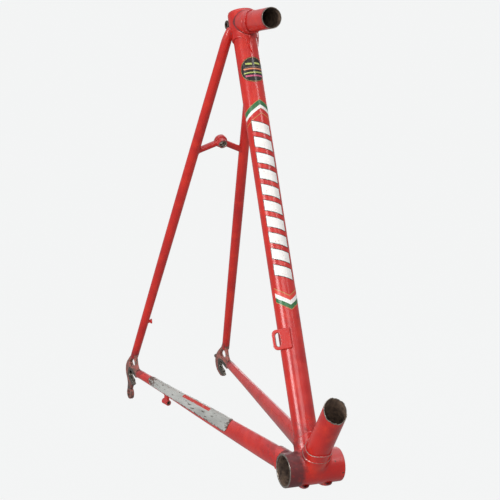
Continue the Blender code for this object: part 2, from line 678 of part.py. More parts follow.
def make_chain_peg(finish):
    """Mushroom-headed peg inside the right seatstay, which parks the chain."""
    stay = seatstay_axis(-1)
    station = STAY_LENGTH * (PEG_Z - STAY_FOOT[2]) / (STAY_TOP[2] - STAY_FOOT[2])
    axis = Axis(stay.point(station), (0.35, 1.0, 0.0), (0, 0, 1))
    profile = [(2.4, 2.0), (2.1, 7.6), (3.0, 8.3), (3.3, 9.0), (3.1, 9.8), (2.0, 10.3)]
    peg = turned_solid("chain_peg", axis, profile, finish, count=20)
    cut(peg, column("chain_peg_seat", stay, station - 20, station + 20,
                    seatstay_radius(station) + GAP, count=24))


def make_protector(finish):
    """Adhesive film over the right chainstay's top and outer side."""
    stay = chainstay_axis(-1)
    first, last = FILM_FROM / CHAIN_LENGTH, FILM_TO / CHAIN_LENGTH
    rows = [first] + [section[0] for section in CHAIN_SECTIONS if first < section[0] < last] + [last]
    shape = bmesh.new()
    layers = []
    for lift in (GAP, GAP + FILM_T):
        grid = []
        for fraction in rows:
            high, wide = chainstay_section(fraction)
            row = []
            for j in range(FILM_STEPS + 1):
                angle = radians(FILM_MIDDLE + (j / FILM_STEPS - 0.5) * FILM_SPREAD)
                point = stay.point(fraction * CHAIN_LENGTH, (high + lift) * cos(angle),
                                   -(wide + lift) * sin(angle))
                row.append(shape.verts.new(point * MM))
            grid.append(row)
        layers.append(grid)
    inner, outer = layers
    for i in range(len(rows) - 1):
        for j in range(FILM_STEPS):
            shape.faces.new((outer[i][j], outer[i][j + 1], outer[i + 1][j + 1], outer[i + 1][j]))
            shape.faces.new((inner[i][j], inner[i + 1][j], inner[i + 1][j + 1], inner[i][j + 1]))
        for j in (0, FILM_STEPS):
            shape.faces.new((inner[i][j], outer[i][j], outer[i + 1][j], inner[i + 1][j]))
    for j in range(FILM_STEPS):
        for i in (0, len(rows) - 1):
            shape.faces.new((inner[i][j], outer[i][j], outer[i][j + 1], inner[i][j + 1]))
    bmesh.ops.recalc_face_normals(shape, faces=shape.faces[:])
    add_object("chainstay_protector", shape, finish)


# ---------------------------------------------------------------- the whole frame
def main():
    clear_scene()
    red = paint("red_paint", (0.58, 0.035, 0.03), 0.0, 0.35)
    steel = paint("bare_steel", (0.12, 0.11, 0.10), 0.9, 0.5)
    dropout_paint = paint("worn_dropout_paint", (0.33, 0.10, 0.08), 0.2, 0.6)
    film = paint("silver_film", (0.50, 0.52, 0.50), 0.6, 0.4)
    make_seat_tube(red)
    make_top_tube(red)
    make_down_tube(red)
    make_shell(red)
    make_cable_guides(red)
    make_seat_lug(red)
    make_binder(steel)
    for side in SIDES:
        make_seatstay(side, red)
        make_seatstay_cap(side, red)
        make_chainstay(side, red)
        make_dropout(side, dropout_paint)
    make_adjuster(steel)
    make_bridge(red)
    make_derailleur_tab(red)
    make_cable_stop(red)
    make_chain_peg(red)
    make_protector(film)


main()
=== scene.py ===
"""Fine visual model of a sawn-off lugged steel bicycle frame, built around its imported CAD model.

The frame's origin is the centre of the bottom bracket shell; +X points forward, +Y to the rider's
left and +Z up, so the drive side is at -Y.  Shapes are worked out in millimetres and turned into
metres when a mesh is made.  Long tubes are lofted from rings.  Castings, forgings and brazed
fittings are signed distance shapes, whose joins get real fillets, skinned with a surface net.
"""

import json
import logging
import math
from dataclasses import dataclass
from enum import Enum
from typing import Callable, Optional, Sequence

import bmesh
import bpy
import numpy as np
from mathutils import Matrix, Vector, geometry


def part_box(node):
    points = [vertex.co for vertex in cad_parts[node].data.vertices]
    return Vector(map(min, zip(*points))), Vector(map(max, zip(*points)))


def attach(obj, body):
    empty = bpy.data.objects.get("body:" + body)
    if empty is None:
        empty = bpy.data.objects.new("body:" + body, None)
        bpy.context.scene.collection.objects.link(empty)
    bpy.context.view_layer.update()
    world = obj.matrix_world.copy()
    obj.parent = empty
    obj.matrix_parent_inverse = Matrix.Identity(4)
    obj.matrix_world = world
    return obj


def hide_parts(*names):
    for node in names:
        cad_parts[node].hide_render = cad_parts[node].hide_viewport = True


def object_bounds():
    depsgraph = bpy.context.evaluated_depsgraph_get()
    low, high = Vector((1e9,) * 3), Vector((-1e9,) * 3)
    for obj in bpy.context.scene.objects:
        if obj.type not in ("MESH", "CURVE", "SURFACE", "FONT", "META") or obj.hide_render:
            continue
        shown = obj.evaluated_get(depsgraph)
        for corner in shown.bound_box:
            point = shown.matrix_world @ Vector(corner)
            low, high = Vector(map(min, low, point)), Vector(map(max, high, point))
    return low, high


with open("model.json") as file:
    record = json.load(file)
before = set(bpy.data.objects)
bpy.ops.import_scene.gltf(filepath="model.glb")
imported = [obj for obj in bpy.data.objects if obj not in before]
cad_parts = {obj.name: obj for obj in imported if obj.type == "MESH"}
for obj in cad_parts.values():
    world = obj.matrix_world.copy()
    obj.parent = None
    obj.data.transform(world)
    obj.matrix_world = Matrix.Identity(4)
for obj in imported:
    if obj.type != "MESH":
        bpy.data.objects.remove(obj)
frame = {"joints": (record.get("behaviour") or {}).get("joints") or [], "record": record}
CAD_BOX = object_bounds()

MM = 0.001
Array = np.ndarray
Mask = Callable[[Array], Array]
Bound = float | Callable[[Array], Array]
Margin = float | tuple[float, float, float]
LOG = logging.getLogger("frame")
RECORD = frame["record"]
MOUNTS = {mount["name"]: mount for mount in RECORD["mounts"]}
JOINTS = {joint["name"]: joint for joint in frame["joints"]}
CELL_SCALE = 1.0


class Side(Enum):
    """The two sides of the bicycle; the value is the sign of Y."""

    RIGHT = -1
    LEFT = 1

    @property
    def word(self) -> str:
        """The side's name as the CAD nodes write it."""
        return self.name.lower()


class Slot(Enum):
    """The record's material slots."""

    PAINT = "red_paint"
    STEEL = "bare_steel"
    DROPOUT = "worn_dropout_paint"
    FILM = "silver_film"


# ---------------------------------------------------------------- numbers and axes
def linear(hex_colour: str) -> tuple[float, float, float, float]:
    """Turn an sRGB hex colour into linear RGBA.

    Args:
        hex_colour: Six hex digits with a leading '#'.

    Returns:
        Linear red, green, blue and an alpha of 1.
    """
    parts = [int(hex_colour[i:i + 2], 16) / 255.0 for i in (1, 3, 5)]
    values = [c / 12.92 if c <= 0.04045 else ((c + 0.055) / 1.055) ** 2.4 for c in parts]
    return values[0], values[1], values[2], 1.0


def fade(value: Array, start: float, end: float) -> Array:
    """A smooth step that is 0 at start and 1 at end, in either direction."""
    t = np.clip((value - start) / (end - start), 0.0, 1.0)
    return t * t * (3.0 - 2.0 * t)


def value_at(bound: Bound, where: Array) -> Array | float:
    """A bound's value, whether it is a number or depends on an angle or a station."""
    return bound(where) if callable(bound) else bound


class Axis:
    """A straight frame in millimetres: a start, a direction and the side where the angle is 0."""

    def __init__(self, start: Sequence[float], along: Sequence[float], zero: Sequence[float]) -> None:
        """Make the frame square.

        Args:
            start: The point where the station is 0.
            along: The direction of growing stations.
            zero: A direction near the one where the angle is 0.
        """
        self.start = np.array(start, float)
        self.along = np.array(along, float) / np.linalg.norm(along)
        flat = np.array(zero, float) - self.along * np.dot(self.along, zero)
        self.zero = flat / np.linalg.norm(flat)
        self.side = np.cross(self.along, self.zero)

    def point(self, station: Bound, across: Bound = 0.0, sideways: Bound = 0.0) -> Array:
        """World points, in millimetres, of local coordinates."""
        parts = ((station, self.along), (across, self.zero), (sideways, self.side))
        return self.start + sum(np.multiply.outer(np.asarray(value, float), way) for value, way in parts)

    def local(self, points: Array) -> tuple[Array, Array, Array]:
        """Station, across and sideways coordinates of world points."""
        rel = points - self.start
        return rel @ self.along, rel @ self.zero, rel @ self.side

    def polar(self, points: Array) -> tuple[Array, Array, Array]:
        """Station, radius and angle of world points."""
        station, across, sideways = self.local(points)
        return station, np.hypot(across, sideways), np.arctan2(sideways, across)


@dataclass(frozen=True)
class Skeleton:
    """Driving sizes and axes of the frame, in millimetres; joints and faces come from the record."""

    seat_angle: float = 73.0
    seat_r: float = 14.3
    seat_bore_r: float = 13.65
    seat_end: float = 555.6
    top_station: float = 542.0
    top_r: float = 12.7
    top_bore_r: float = 11.8
    top_cut: float = 86.3
    down_angle: float = 48.7
    down_r: float = 14.3
    down_bore_r: float = 13.4
    down_cut: float = 102.0
    down_slant: float = 5.9
    seatstay_top: tuple[float, float, float] = (-176.4, 20.2, 481.9)
    seatstay_foot: tuple[float, float, float] = (-411.1, 68.3, 81.2)
    chainstay_front: tuple[float, float, float] = (-20.0, 19.3, 3.2)
    chainstay_rear: tuple[float, float, float] = (-398.0, 67.9, 60.0)
    slot_seat: tuple[float, float] = (-424.5, 55.8)

    @property
    def up_seat(self) -> Array:
        """Unit direction up the seat tube."""
        angle = math.radians(self.seat_angle)
        return np.array([-math.cos(angle), 0.0, math.sin(angle)])

    @property
    def seat(self) -> Axis:
        """Seat tube; angle 0 is its front, 90 degrees its left."""
        return Axis((0, 0, 0), self.up_seat, (1, 0, 0))

    @property
    def top(self) -> Axis:
        """Top tube, from the seat tube's axis forward; angle 0 is up."""
        return Axis(self.up_seat * self.top_station, (1, 0, 0), (0, 0, 1))

    @property
    def down(self) -> Axis:
        """Down tube, from the shell's centre; angle 0 is its upper rear side."""
        angle = math.radians(self.down_angle)
        return Axis((0, 0, 0), (math.cos(angle), 0, math.sin(angle)), (-1, 0, 0))

    @property
    def shell(self) -> Axis:
        """Bottom bracket, from the mount that names it."""
        mount = MOUNTS["bottom_bracket_axis"]
        return Axis(np.array(mount["pos_m"]) / MM, mount["axis"], (1, 0, 0))

    @property
    def binder(self) -> Axis:
        """Binder bolt, from its joint, pointing left."""
        joint = JOINTS["binder_bolt_turn"]
        return Axis(np.array(joint["pos_m"]) / MM, (0, 1, 0), self.up_seat)

    @property
    def barrel(self) -> Axis:
        """Brake bridge barrel, pointing forward, from the face the brake bolts to."""
        rear, front = MOUNTS["brake_bolt_rear_face"], MOUNTS["brake_bolt_front_face"]
        start = np.array(rear["pos_m"]) / MM
        start[1] = 0.0
        along = np.array(front["axis"])
        return Axis(start + along * 4.2, along, (0, 1, 0))

    @property
    def plate_y(self) -> float:
        """Distance of a dropout's middle plane from the frame's."""
        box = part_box("left_dropout")
        return (box[0].y + box[1].y) / 2.0 / MM

    @property
    def plate_t(self) -> float:
        """Thickness of a dropout."""
        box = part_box("left_dropout")
        return (box[1].y - box[0].y) / MM

    def seatstay(self, side: Side) -> Axis:
        """Seatstay axis from its foot up; angle 0 is its front."""
        flip = np.array([1, side.value, 1])
        foot = np.array(self.seatstay_foot) * flip
        return Axis(foot, np.array(self.seatstay_top) * flip - foot, (1, 0, 0))

    def chainstay(self, side: Side) -> Axis:
        """Chainstay axis from the shell back; angle 0 is its top."""
        flip = np.array([1, side.value, 1])
        front = np.array(self.chainstay_front) * flip
        return Axis(front, np.array(self.chainstay_rear) * flip - front, (0, 0, 1))

    def screw(self, side: Side) -> Axis:
        """Axle adjuster axis, from the slot's closed end out through the back edge."""
        start = (self.slot_seat[0], side.value * self.plate_y, self.slot_seat[1])
        return Axis(start, JOINTS["adjuster_travel"]["axis"], (0, 1, 0))

    @property
    def seatstay_length(self) -> float:
        """Distance between the two points that set a seatstay's axis."""
        return math.dist(self.seatstay_top, self.seatstay_foot)

    @property
    def chainstay_length(self) -> float:
        """Distance between the two points that set a chainstay's axis."""
        return math.dist(self.chainstay_front, self.chainstay_rear)


# ---------------------------------------------------------------- signed distance shapes
class Solid:
    """A shape known by its signed distance in millimetres, negative inside."""

    def __init__(self, distance: Mask) -> None:
        """Keep the distance function, which takes (n, 3) points."""
        self.distance = distance

    def join(self, other: "Solid", fillet: float = 0.0) -> "Solid":
        """Union, with a fillet of about that radius in the corner."""
        def distance(points: Array) -> Array:
            """Distance to the two together."""
            a, b = self.distance(points), other.distance(points)
            if fillet == 0.0:
                return np.minimum(a, b)
            h = np.clip(fillet - np.abs(a - b), 0.0, None) / fillet
            return np.minimum(a, b) - h * h * fillet / 4.0
        return Solid(distance)

    def cut(self, other: "Solid", chamfer: float = 0.0) -> "Solid":
        """Difference, with the new edge rounded by about that much."""
        return self.keep(Solid(lambda points: -other.distance(points)), chamfer)

    def keep(self, other: "Solid", chamfer: float = 0.0) -> "Solid":
        """Intersection, with the new edge rounded by about that much."""
        def distance(points: Array) -> Array:
            """Distance to what both share."""
            a, b = self.distance(points), other.distance(points)
            if chamfer == 0.0:
                return np.maximum(a, b)
            h = np.clip(chamfer - np.abs(a - b), 0.0, None) / chamfer
            return np.maximum(a, b) + h * h * chamfer / 4.0
        return Solid(distance)

    def grown(self, amount: float) -> "Solid":
        """The same shape, larger all round."""
        return Solid(lambda points: self.distance(points) - amount)

    def brazed(self, host: "Solid", fillet: float) -> "Solid":
        """This piece with a braze fillet on to a host, and nothing inside the host."""
        return self.join(host, fillet).cut(host)

    @staticmethod
    def bar(axis: Axis, low: Bound, high: Bound, radius: Bound, soft: float = 0.3) -> "Solid":
        """A round bar; ends may depend on the angle and the radius on the station.

        Args:
            axis: Its axis.
            low: First station, or a function of the angle.
            high: Last station, or a function of the angle.
            radius: Radius, or a function of the station.
            soft: Rounding of its end edges.

        Returns:
            The bar.
        """
        def distance(points: Array) -> Array:
            """Distance to a round bar."""
            station, r, angle = axis.polar(points)
            first, last = value_at(low, angle), value_at(high, angle)
            wall = r - value_at(radius, station)
            end = np.maximum(first - station, station - last)
            return rounded_corner(wall, end, soft)
        return Solid(distance)

    @staticmethod
    def oval(axis: Axis, low: Bound, high: Bound, tall: float, wide: float, soft: float = 0.3) -> "Solid":
        """An oval bar, tall along the axis's zero side."""
        def distance(points: Array) -> Array:
            """Distance to an oval bar."""
            station, across, sideways = axis.local(points)
            angle = np.arctan2(sideways, across)
            first, last = value_at(low, angle), value_at(high, angle)
            k0 = np.hypot(across / tall, sideways / wide)
            k1 = np.hypot(across / tall ** 2, sideways / wide ** 2) + 1e-9
            return rounded_corner(k0 * (k0 - 1.0) / k1, np.maximum(first - station, station - last), soft)
        return Solid(distance)

    @staticmethod
    def block(axis: Axis, stations: Sequence[float], across: Sequence[float], sideways: Sequence[float],
              soft: float = 0.3) -> "Solid":
        """A rectangular bar with rounded edges."""
        middles = [(low + high) / 2.0 for low, high in (stations, across, sideways)]
        halves = [(high - low) / 2.0 - soft for low, high in (stations, across, sideways)]

        def distance(points: Array) -> Array:
            """Distance to a box."""
            gaps = [np.abs(value - middle) - half
                    for value, middle, half in zip(axis.local(points), middles, halves)]
            outside = np.sqrt(sum(np.clip(gap, 0.0, None) ** 2 for gap in gaps))
            return outside + np.minimum(np.maximum.reduce(gaps), 0.0) - soft
        return Solid(distance)

    @staticmethod
    def plate(axis: Axis, outline: Array, holes: Sequence[Array], half: float, soft: float) -> "Solid":
        """A flat plate across an axis, with rounded edges.

        Args:
            axis: Normal of the plate, with its zero and side directions in the plate.
            outline: Outline points along the zero and side directions.
            holes: Outlines of the holes.
            half: Half its thickness.
            soft: Rounding of its edges.

        Returns:
            The plate.
        """
        def distance(points: Array) -> Array:
            """Distance to a plate."""
            station, across, sideways = axis.local(points)
            flat = np.column_stack((across, sideways))
            edge = outline_distance(flat, outline)
            for hole in holes:
                edge = np.maximum(edge, -outline_distance(flat, hole))
            return rounded_corner(edge, np.abs(station) - half, soft)
        return Solid(distance)


def rounded_corner(wall: Array, end: Array, soft: float) -> Array:
    """Distance to a shape bounded by a wall and an end that meet in a rounded edge."""
    a, b = wall + soft, end + soft
    return np.hypot(np.clip(a, 0.0, None), np.clip(b, 0.0, None)) + np.minimum(np.maximum(a, b), 0.0) - soft


def outline_distance(points: Array, outline: Array) -> Array:
    """Signed distance of flat points to a closed outline, negative inside."""
    nearest = np.full(len(points), np.inf)
    inside = np.zeros(len(points), bool)
    for start, end in zip(outline, np.roll(outline, -1, axis=0)):
        edge = end - start
        rel = points - start
        t = np.clip(rel @ edge / (edge @ edge), 0.0, 1.0)
        nearest = np.minimum(nearest, np.sum((rel - t[:, None] * edge) ** 2, axis=1))
        crosses = (start[1] > points[:, 1]) != (end[1] > points[:, 1])
        if abs(edge[1]) > 1e-12:
            inside ^= crosses & (points[:, 0] < start[0] + (points[:, 1] - start[1]) * edge[0] / edge[1])
    return np.where(inside, -1.0, 1.0) * np.sqrt(nearest)


# ---------------------------------------------------------------- meshes
@dataclass
class Shape:
    """Points in millimetres and the faces between them."""

    points: Array
    faces: list[Sequence[int]]


def skin(solid: Solid, low: Sequence[float], high: Sequence[float], cell: float) -> Shape:
    """Skin a solid with a surface net, then pull each point on to the true surface.

    Args:
        solid: The shape.
        low: Lowest corner of the box that holds it, in millimetres.
        high: Highest corner.
        cell: Size of the net's cells.

    Returns:
        A closed shape of four-sided faces.
    """
    cell *= CELL_SCALE
    low = np.array(low, float) - 2.0 * cell
    counts = np.ceil((np.array(high, float) + 2.0 * cell - low) / cell).astype(int) + 1
    lines = [low[i] + cell * np.arange(counts[i]) for i in range(3)]
    grid = np.stack(np.meshgrid(*lines, indexing="ij"), axis=-1).reshape(-1, 3)
    chunks = np.array_split(grid, max(1, len(grid) // 400000))
    values = np.concatenate([solid.distance(chunk) for chunk in chunks]).reshape(counts)
    corners = [(i, j, k) for i in (0, 1) for j in (0, 1) for k in (0, 1)]
    cells = tuple(counts - 1)
    around = np.stack([values[i:i + cells[0], j:j + cells[1], k:k + cells[2]] for i, j, k in corners],
                      axis=-1)
    inside = around < 0.0
    mixed = inside.any(axis=-1) & ~inside.all(axis=-1)
    number = np.full(cells, -1)
    number[mixed] = np.arange(mixed.sum())
    near = around[mixed]
    total = np.zeros((len(near), 3))
    hits = np.zeros(len(near))
    for a in range(8):
        for b in range(a + 1, 8):
            step = np.array(corners[b]) - np.array(corners[a])
            if np.abs(step).sum() != 1:
                continue
            crossing = (near[:, a] < 0.0) != (near[:, b] < 0.0)
            span = np.where(crossing, near[:, a] - near[:, b], 1.0)
            t = np.clip(near[:, a] / span, 0.0, 1.0)
            total += crossing[:, None] * (np.array(corners[a]) + t[:, None] * step)
            hits += crossing
    points = low + (np.argwhere(mixed) + total / hits[:, None]) * cell
    for _ in range(4):
        points += pull(solid, points, cell)
    return Shape(points, net_faces(values, number))


def skin_over(solid: Solid, node: str, cell: float, below: Margin = 0.0, above: Margin = 0.0) -> Shape:
    """Skin a solid inside one CAD node's box, made larger by a margin.

    Args:
        solid: The shape.
        node: The CAD node.
        cell: Size of the net's cells.
        below: Margin under the lowest corner, in millimetres.
        above: Margin over the highest corner.

    Returns:
        A closed shape of four-sided faces.
    """
    low, high = (np.array(corner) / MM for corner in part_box(node))
    return skin(solid, low - below, high + above, cell)


def even(value: float) -> Mask:
    """A mask with one value all over."""
    return lambda points: np.full(len(points), value)


def station_mask(axis: Axis, start: float, end: float, amount: float = 1.0, base: float = 0.0) -> Mask:
    """A mask that grows from base by that amount between two stations."""
    return lambda points: base + amount * fade(axis.local(points)[0], start, end)


def bore_mask(axis: Axis, radius: float) -> Mask:
    """A mask that is on within that radius of an axis."""
    return lambda points: (axis.polar(points)[1] < radius).astype(float)


def pull(solid: Solid, points: Array, cell: float) -> Array:
    """The short move that brings points on to a solid's surface."""
    step = 0.02
    base = solid.distance(points)
    slopes = [(solid.distance(points + step * way) - base) / step for way in np.eye(3)]
    slope = np.column_stack(slopes)
    size = np.clip(np.sum(slope ** 2, axis=1), 0.25, None)
    move = -slope * (base / size)[:, None]
    length = np.linalg.norm(move, axis=1, keepdims=True) + 1e-12
    return move * np.minimum(1.0, 0.4 * cell / length)


def net_faces(values: Array, number: Array) -> list[Sequence[int]]:
    """Faces of a surface net: one across each grid edge whose ends lie on different sides."""
    faces: list[Sequence[int]] = []
    for way in range(3):
        one, two = (way + 1) % 3, (way + 2) % 3
        turned = np.moveaxis(values, (way, one, two), (0, 1, 2))
        cells = np.moveaxis(number, (way, one, two), (0, 1, 2))
        first = turned[:-1, 1:-1, 1:-1] < 0.0
        last = turned[1:, 1:-1, 1:-1] < 0.0
        quads = np.stack([cells[:, :-1, :-1], cells[:, 1:, :-1], cells[:, 1:, 1:], cells[:, :-1, 1:]],
                         axis=-1)
        faces += quads[first & ~last].tolist()
        faces += quads[~first & last][:, ::-1].tolist()
    return faces


def loft(rings: Sequence[Array], closed: bool = False) -> Shape:
    """Skin rings of equal length.

    Args:
        rings: Rings of points in millimetres.
        closed: Join the last ring to the first; otherwise both ends are capped.

    Returns:
        The closed shape.
    """
    count = len(rings[0])
    faces: list[Sequence[int]] = []
    pairs = list(range(len(rings) - 1)) + ([len(rings) - 1] if closed else [])
    for low in pairs:
        high = (low + 1) % len(rings)
        for i in range(count):
            j = (i + 1) % count
            faces.append((low * count + i, low * count + j, high * count + j, high * count + i))
    if not closed:
        faces.append(tuple(reversed(range(count))))
        faces.append(tuple((len(rings) - 1) * count + i for i in range(count)))
    return Shape(np.concatenate(rings), faces)


def ring(axis: Axis, station: Bound, tall: float, wide: Optional[float] = None, count: int = 96) -> Array:
    """One round or oval section; the station may depend on the angle."""
    angle = np.linspace(0.0, 2.0 * math.pi, count, endpoint=False)
    at = station(angle) if callable(station) else np.full(count, float(station))
    return axis.point(at, tall * np.cos(angle), (tall if wide is None else wide) * np.sin(angle))


def pipe(axis: Axis, stations: Sequence[Bound], outer: float, inner: float, count: int = 96) -> Shape:
    """A thin-walled tube with softened end edges.

    Args:
        axis: Its axis.
        stations: Stations of its rings, first to last; each may depend on the angle.
        outer: Outer radius.
        inner: Inner radius.
        count: Points in each ring.

    Returns:
        The closed shape.
    """
    soft = min(0.15, (outer - inner) / 3.0)
    rings = [ring(axis, stations[0], outer - soft, count=count)]
    rings += [ring(axis, at, outer, count=count) for at in stations[1:-1]]
    rings += [ring(axis, stations[-1], outer - soft, count=count),
              ring(axis, stations[-1], inner + soft, count=count)]
    rings += [ring(axis, at, inner, count=count) for at in reversed(stations[1:-1])]
    rings += [ring(axis, stations[0], inner + soft, count=count)]
    return loft(rings, closed=True)


def arc(centre: Sequence[float], radius: float, start: float, end: float, count: int = 24) -> Array:
    """Points of a flat arc; angles in degrees, ends included."""
    angle = np.radians(np.linspace(start, end, count))
    return np.column_stack((centre[0] + radius * np.cos(angle), centre[1] + radius * np.sin(angle)))


def smooth_loop(points: Sequence[Sequence[float]], steps: int = 8) -> Array:
    """A closed curve through flat points."""
    p = np.array(points, float)
    before, after, beyond = np.roll(p, 1, 0), np.roll(p, -1, 0), np.roll(p, -2, 0)
    parts = []
    for t in np.linspace(0.0, 1.0, steps, endpoint=False):
        parts.append(0.5 * (2 * p + (after - before) * t + (2 * before - 5 * p + 4 * after - beyond) * t ** 2
                            + (3 * p - before - 3 * after + beyond) * t ** 3))
    return np.stack(parts, axis=1).reshape(-1, 2)


# ---------------------------------------------------------------- placing pieces
@dataclass
class Builder:
    """Turns shapes into dressed pieces that ride on the CAD bodies."""

    finishes: dict[str, bpy.types.Material]
    pieces: int = 0

    def add(self, name: str, shape: Shape, finish: str = "sprayed_enamel", slot: Slot = Slot.PAINT,
            body: str = "frame",
            nodes: Sequence[str] = (), masks: Optional[dict[str, Mask]] = None,
            sharp: float = 50.0) -> bpy.types.Object:
        """Make one visible piece.

        Args:
            name: The piece's name.
            shape: Its points and faces.
            finish: Name of its finish.
            slot: The record's slot; not used.
            body: The CAD body it rides on.
            nodes: CAD nodes it stands for.
            masks: Wear masks, as functions of points in millimetres.
            sharp: Edges that turn by more than this many degrees stay sharp.

        Returns:
            The new object.
        """
        mesh = bpy.data.meshes.new(name)
        mesh.from_pydata((shape.points * MM).tolist(), [], shape.faces)
        mesh.validate()
        mesh.shade_smooth()
        mesh.set_sharp_from_angle(angle=math.radians(sharp))
        for key, mask in (masks or {}).items():
            layer = mesh.attributes.new(key, "FLOAT", "POINT")
            layer.data.foreach_set("value", np.clip(mask(shape.points), 0.0, 1.0).astype(np.float32))
        piece = bpy.data.objects.new(name, mesh)
        bpy.context.scene.collection.objects.link(piece)
        mesh.materials.append(self.finishes[finish])
        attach(piece, body)
        if nodes:
            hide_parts(*nodes)
        self.pieces += 1
        LOG.info("%s: %d faces, %s, rides on %s", name, len(mesh.polygons), finish, body)
        return piece

    def carve(self, piece: bpy.types.Object, shapes: Sequence[Shape]) -> None:
        """Cut shapes out of a piece and keep the result as its mesh.

        Args:
            piece: The piece.
            shapes: Closed shapes to cut away.
        """
        tools = []
        for shape in shapes:
            mesh = bpy.data.meshes.new("tool")
            mesh.from_pydata((shape.points * MM).tolist(), [], shape.faces)
            tool = bpy.data.objects.new("tool", mesh)
            bpy.context.scene.collection.objects.link(tool)
            step = piece.modifiers.new("cut", "BOOLEAN")
            step.operation = "DIFFERENCE"
            step.object = tool
            tools.append(tool)
        evaluated = piece.evaluated_get(bpy.context.evaluated_depsgraph_get())
        mesh = bpy.data.meshes.new_from_object(evaluated)
        piece.modifiers.clear()
        piece.data = mesh
        for tool in tools:
            bpy.data.objects.remove(tool, do_unlink=True)


# ---------------------------------------------------------------- finishes
Value = bpy.types.NodeSocket | float | int | str | tuple


def add(tree: bpy.types.NodeTree, kind: str, links: Optional[dict[str | int, Value]] = None,
        **settings: Value) -> bpy.types.Node:
    """Add a shader node.

    Args:
        tree: The material's node tree.
        kind: The node's type name.
        links: What goes into its inputs: another node's output, or a plain value.
        **settings: Its own properties.

    Returns:
        The new node.
    """
    node = tree.nodes.new(kind)
    for key, value in settings.items():
        setattr(node, key, value)
    for key, value in (links or {}).items():
        if isinstance(value, bpy.types.NodeSocket):
            tree.links.new(value, node.inputs[key])
        else:
            node.inputs[key].default_value = value
    return node


MIX_A, MIX_B, MIX_OUT = 6, 7, 2          # a colour Mix node's sockets


@dataclass(frozen=True)
class Finish:
    """What every finish shares: a name, and a Principled shader that its own method dresses."""

    name: str

    def make(self) -> bpy.types.Material:
        """Build the material.

        Returns:
            The finished material.
        """
        material = bpy.data.materials.new(self.name)
        material.use_nodes = True
        tree = material.node_tree
        self.dress(tree, tree.nodes["Principled BSDF"])
        return material

    def dress(self, tree: bpy.types.NodeTree, shader: bpy.types.Node) -> None:
        """Give the shader its colours, gloss and relief."""
        raise NotImplementedError

    def place(self, tree: bpy.types.NodeTree) -> bpy.types.NodeSocket:
        """Object coordinates, which are metres in the frame's own frame."""
        return add(tree, "ShaderNodeTexCoord").outputs["Object"]

    def grain(self, tree: bpy.types.NodeTree, size_mm: float, detail: float = 4.0,
              low: float = 0.3, high: float = 0.7, stretch: Optional[tuple] = None) -> bpy.types.NodeSocket:
        """Noise of a real size, spread over 0 to 1.

        Args:
            tree: The material's node tree.
            size_mm: Size of its blotches.
            detail: Finer octaves.
            low: Noise value that becomes 0.
            high: Noise value that becomes 1.
            stretch: How much finer it is along X, Y and Z.

        Returns:
            The value.
        """
        where = self.place(tree)
        if stretch:
            where = add(tree, "ShaderNodeMapping", {"Vector": where, "Scale": stretch}).outputs[0]
        noise = add(tree, "ShaderNodeTexNoise",
                    {"Vector": where, "Scale": 1000.0 / size_mm, "Detail": detail})
        spread = add(tree, "ShaderNodeMapRange",
                     {"Value": noise.outputs[0], "From Min": low, "From Max": high},
                     clamp=True)
        return spread.outputs[0]

    def worn(self, tree: bpy.types.NodeTree, mask: str, size_mm: float, ragged: float = 0.5,
             soft: float = 0.0) -> bpy.types.NodeSocket:
        """A painted mask with a ragged edge.

        Args:
            tree: The material's node tree.
            mask: Name of the mesh's mask.
            size_mm: Size of the raggedness.
            ragged: How far the noise moves the edge.
            soft: How much wider than crisp the edge is.

        Returns:
            0 where the mask is off and 1 where it is on.
        """
        amount = add(tree, "ShaderNodeAttribute", attribute_name=mask).outputs["Fac"]
        noise = self.grain(tree, size_mm, 5.0)
        pushed = add(tree, "ShaderNodeMath", {0: noise, 1: ragged, 2: amount}, operation="MULTIPLY_ADD")
        edge = add(tree, "ShaderNodeMapRange", {"Value": pushed.outputs[0],
                                                "From Min": 0.45 + ragged / 2.0 - soft,
                                                "From Max": 0.6 + ragged / 2.0 + soft}, clamp=True)
        gate = add(tree, "ShaderNodeMath", {0: amount, 1: 0.04}, operation="GREATER_THAN")
        both = add(tree, "ShaderNodeMath", {0: edge.outputs[0], 1: gate.outputs[0]}, operation="MULTIPLY")
        return both.outputs[0]

    def over(self, tree: bpy.types.NodeTree, under: Value, top: Value, where: Value) -> bpy.types.NodeSocket:
        """One colour laid over another where a mask says."""
        return add(tree, "ShaderNodeMix", {0: where, MIX_A: under, MIX_B: top},
                   data_type="RGBA").outputs[MIX_OUT]

    def level(self, tree: bpy.types.NodeTree, under: Value, top: Value, where: Value) -> bpy.types.NodeSocket:
        """One number laid over another where a mask says."""
        return add(tree, "ShaderNodeMix", {0: where, 2: under, 3: top}, data_type="FLOAT").outputs[0]

    def relief(self, tree: bpy.types.NodeTree, shader: bpy.types.Node, height: Value,
               depth_mm: float) -> None:
        """Bump the surface by a height of 0 to 1 times a real depth."""
        bump = add(tree, "ShaderNodeBump", {"Height": height, "Distance": depth_mm * MM, "Strength": 1.0})
        tree.links.new(bump.outputs[0], shader.inputs["Normal"])


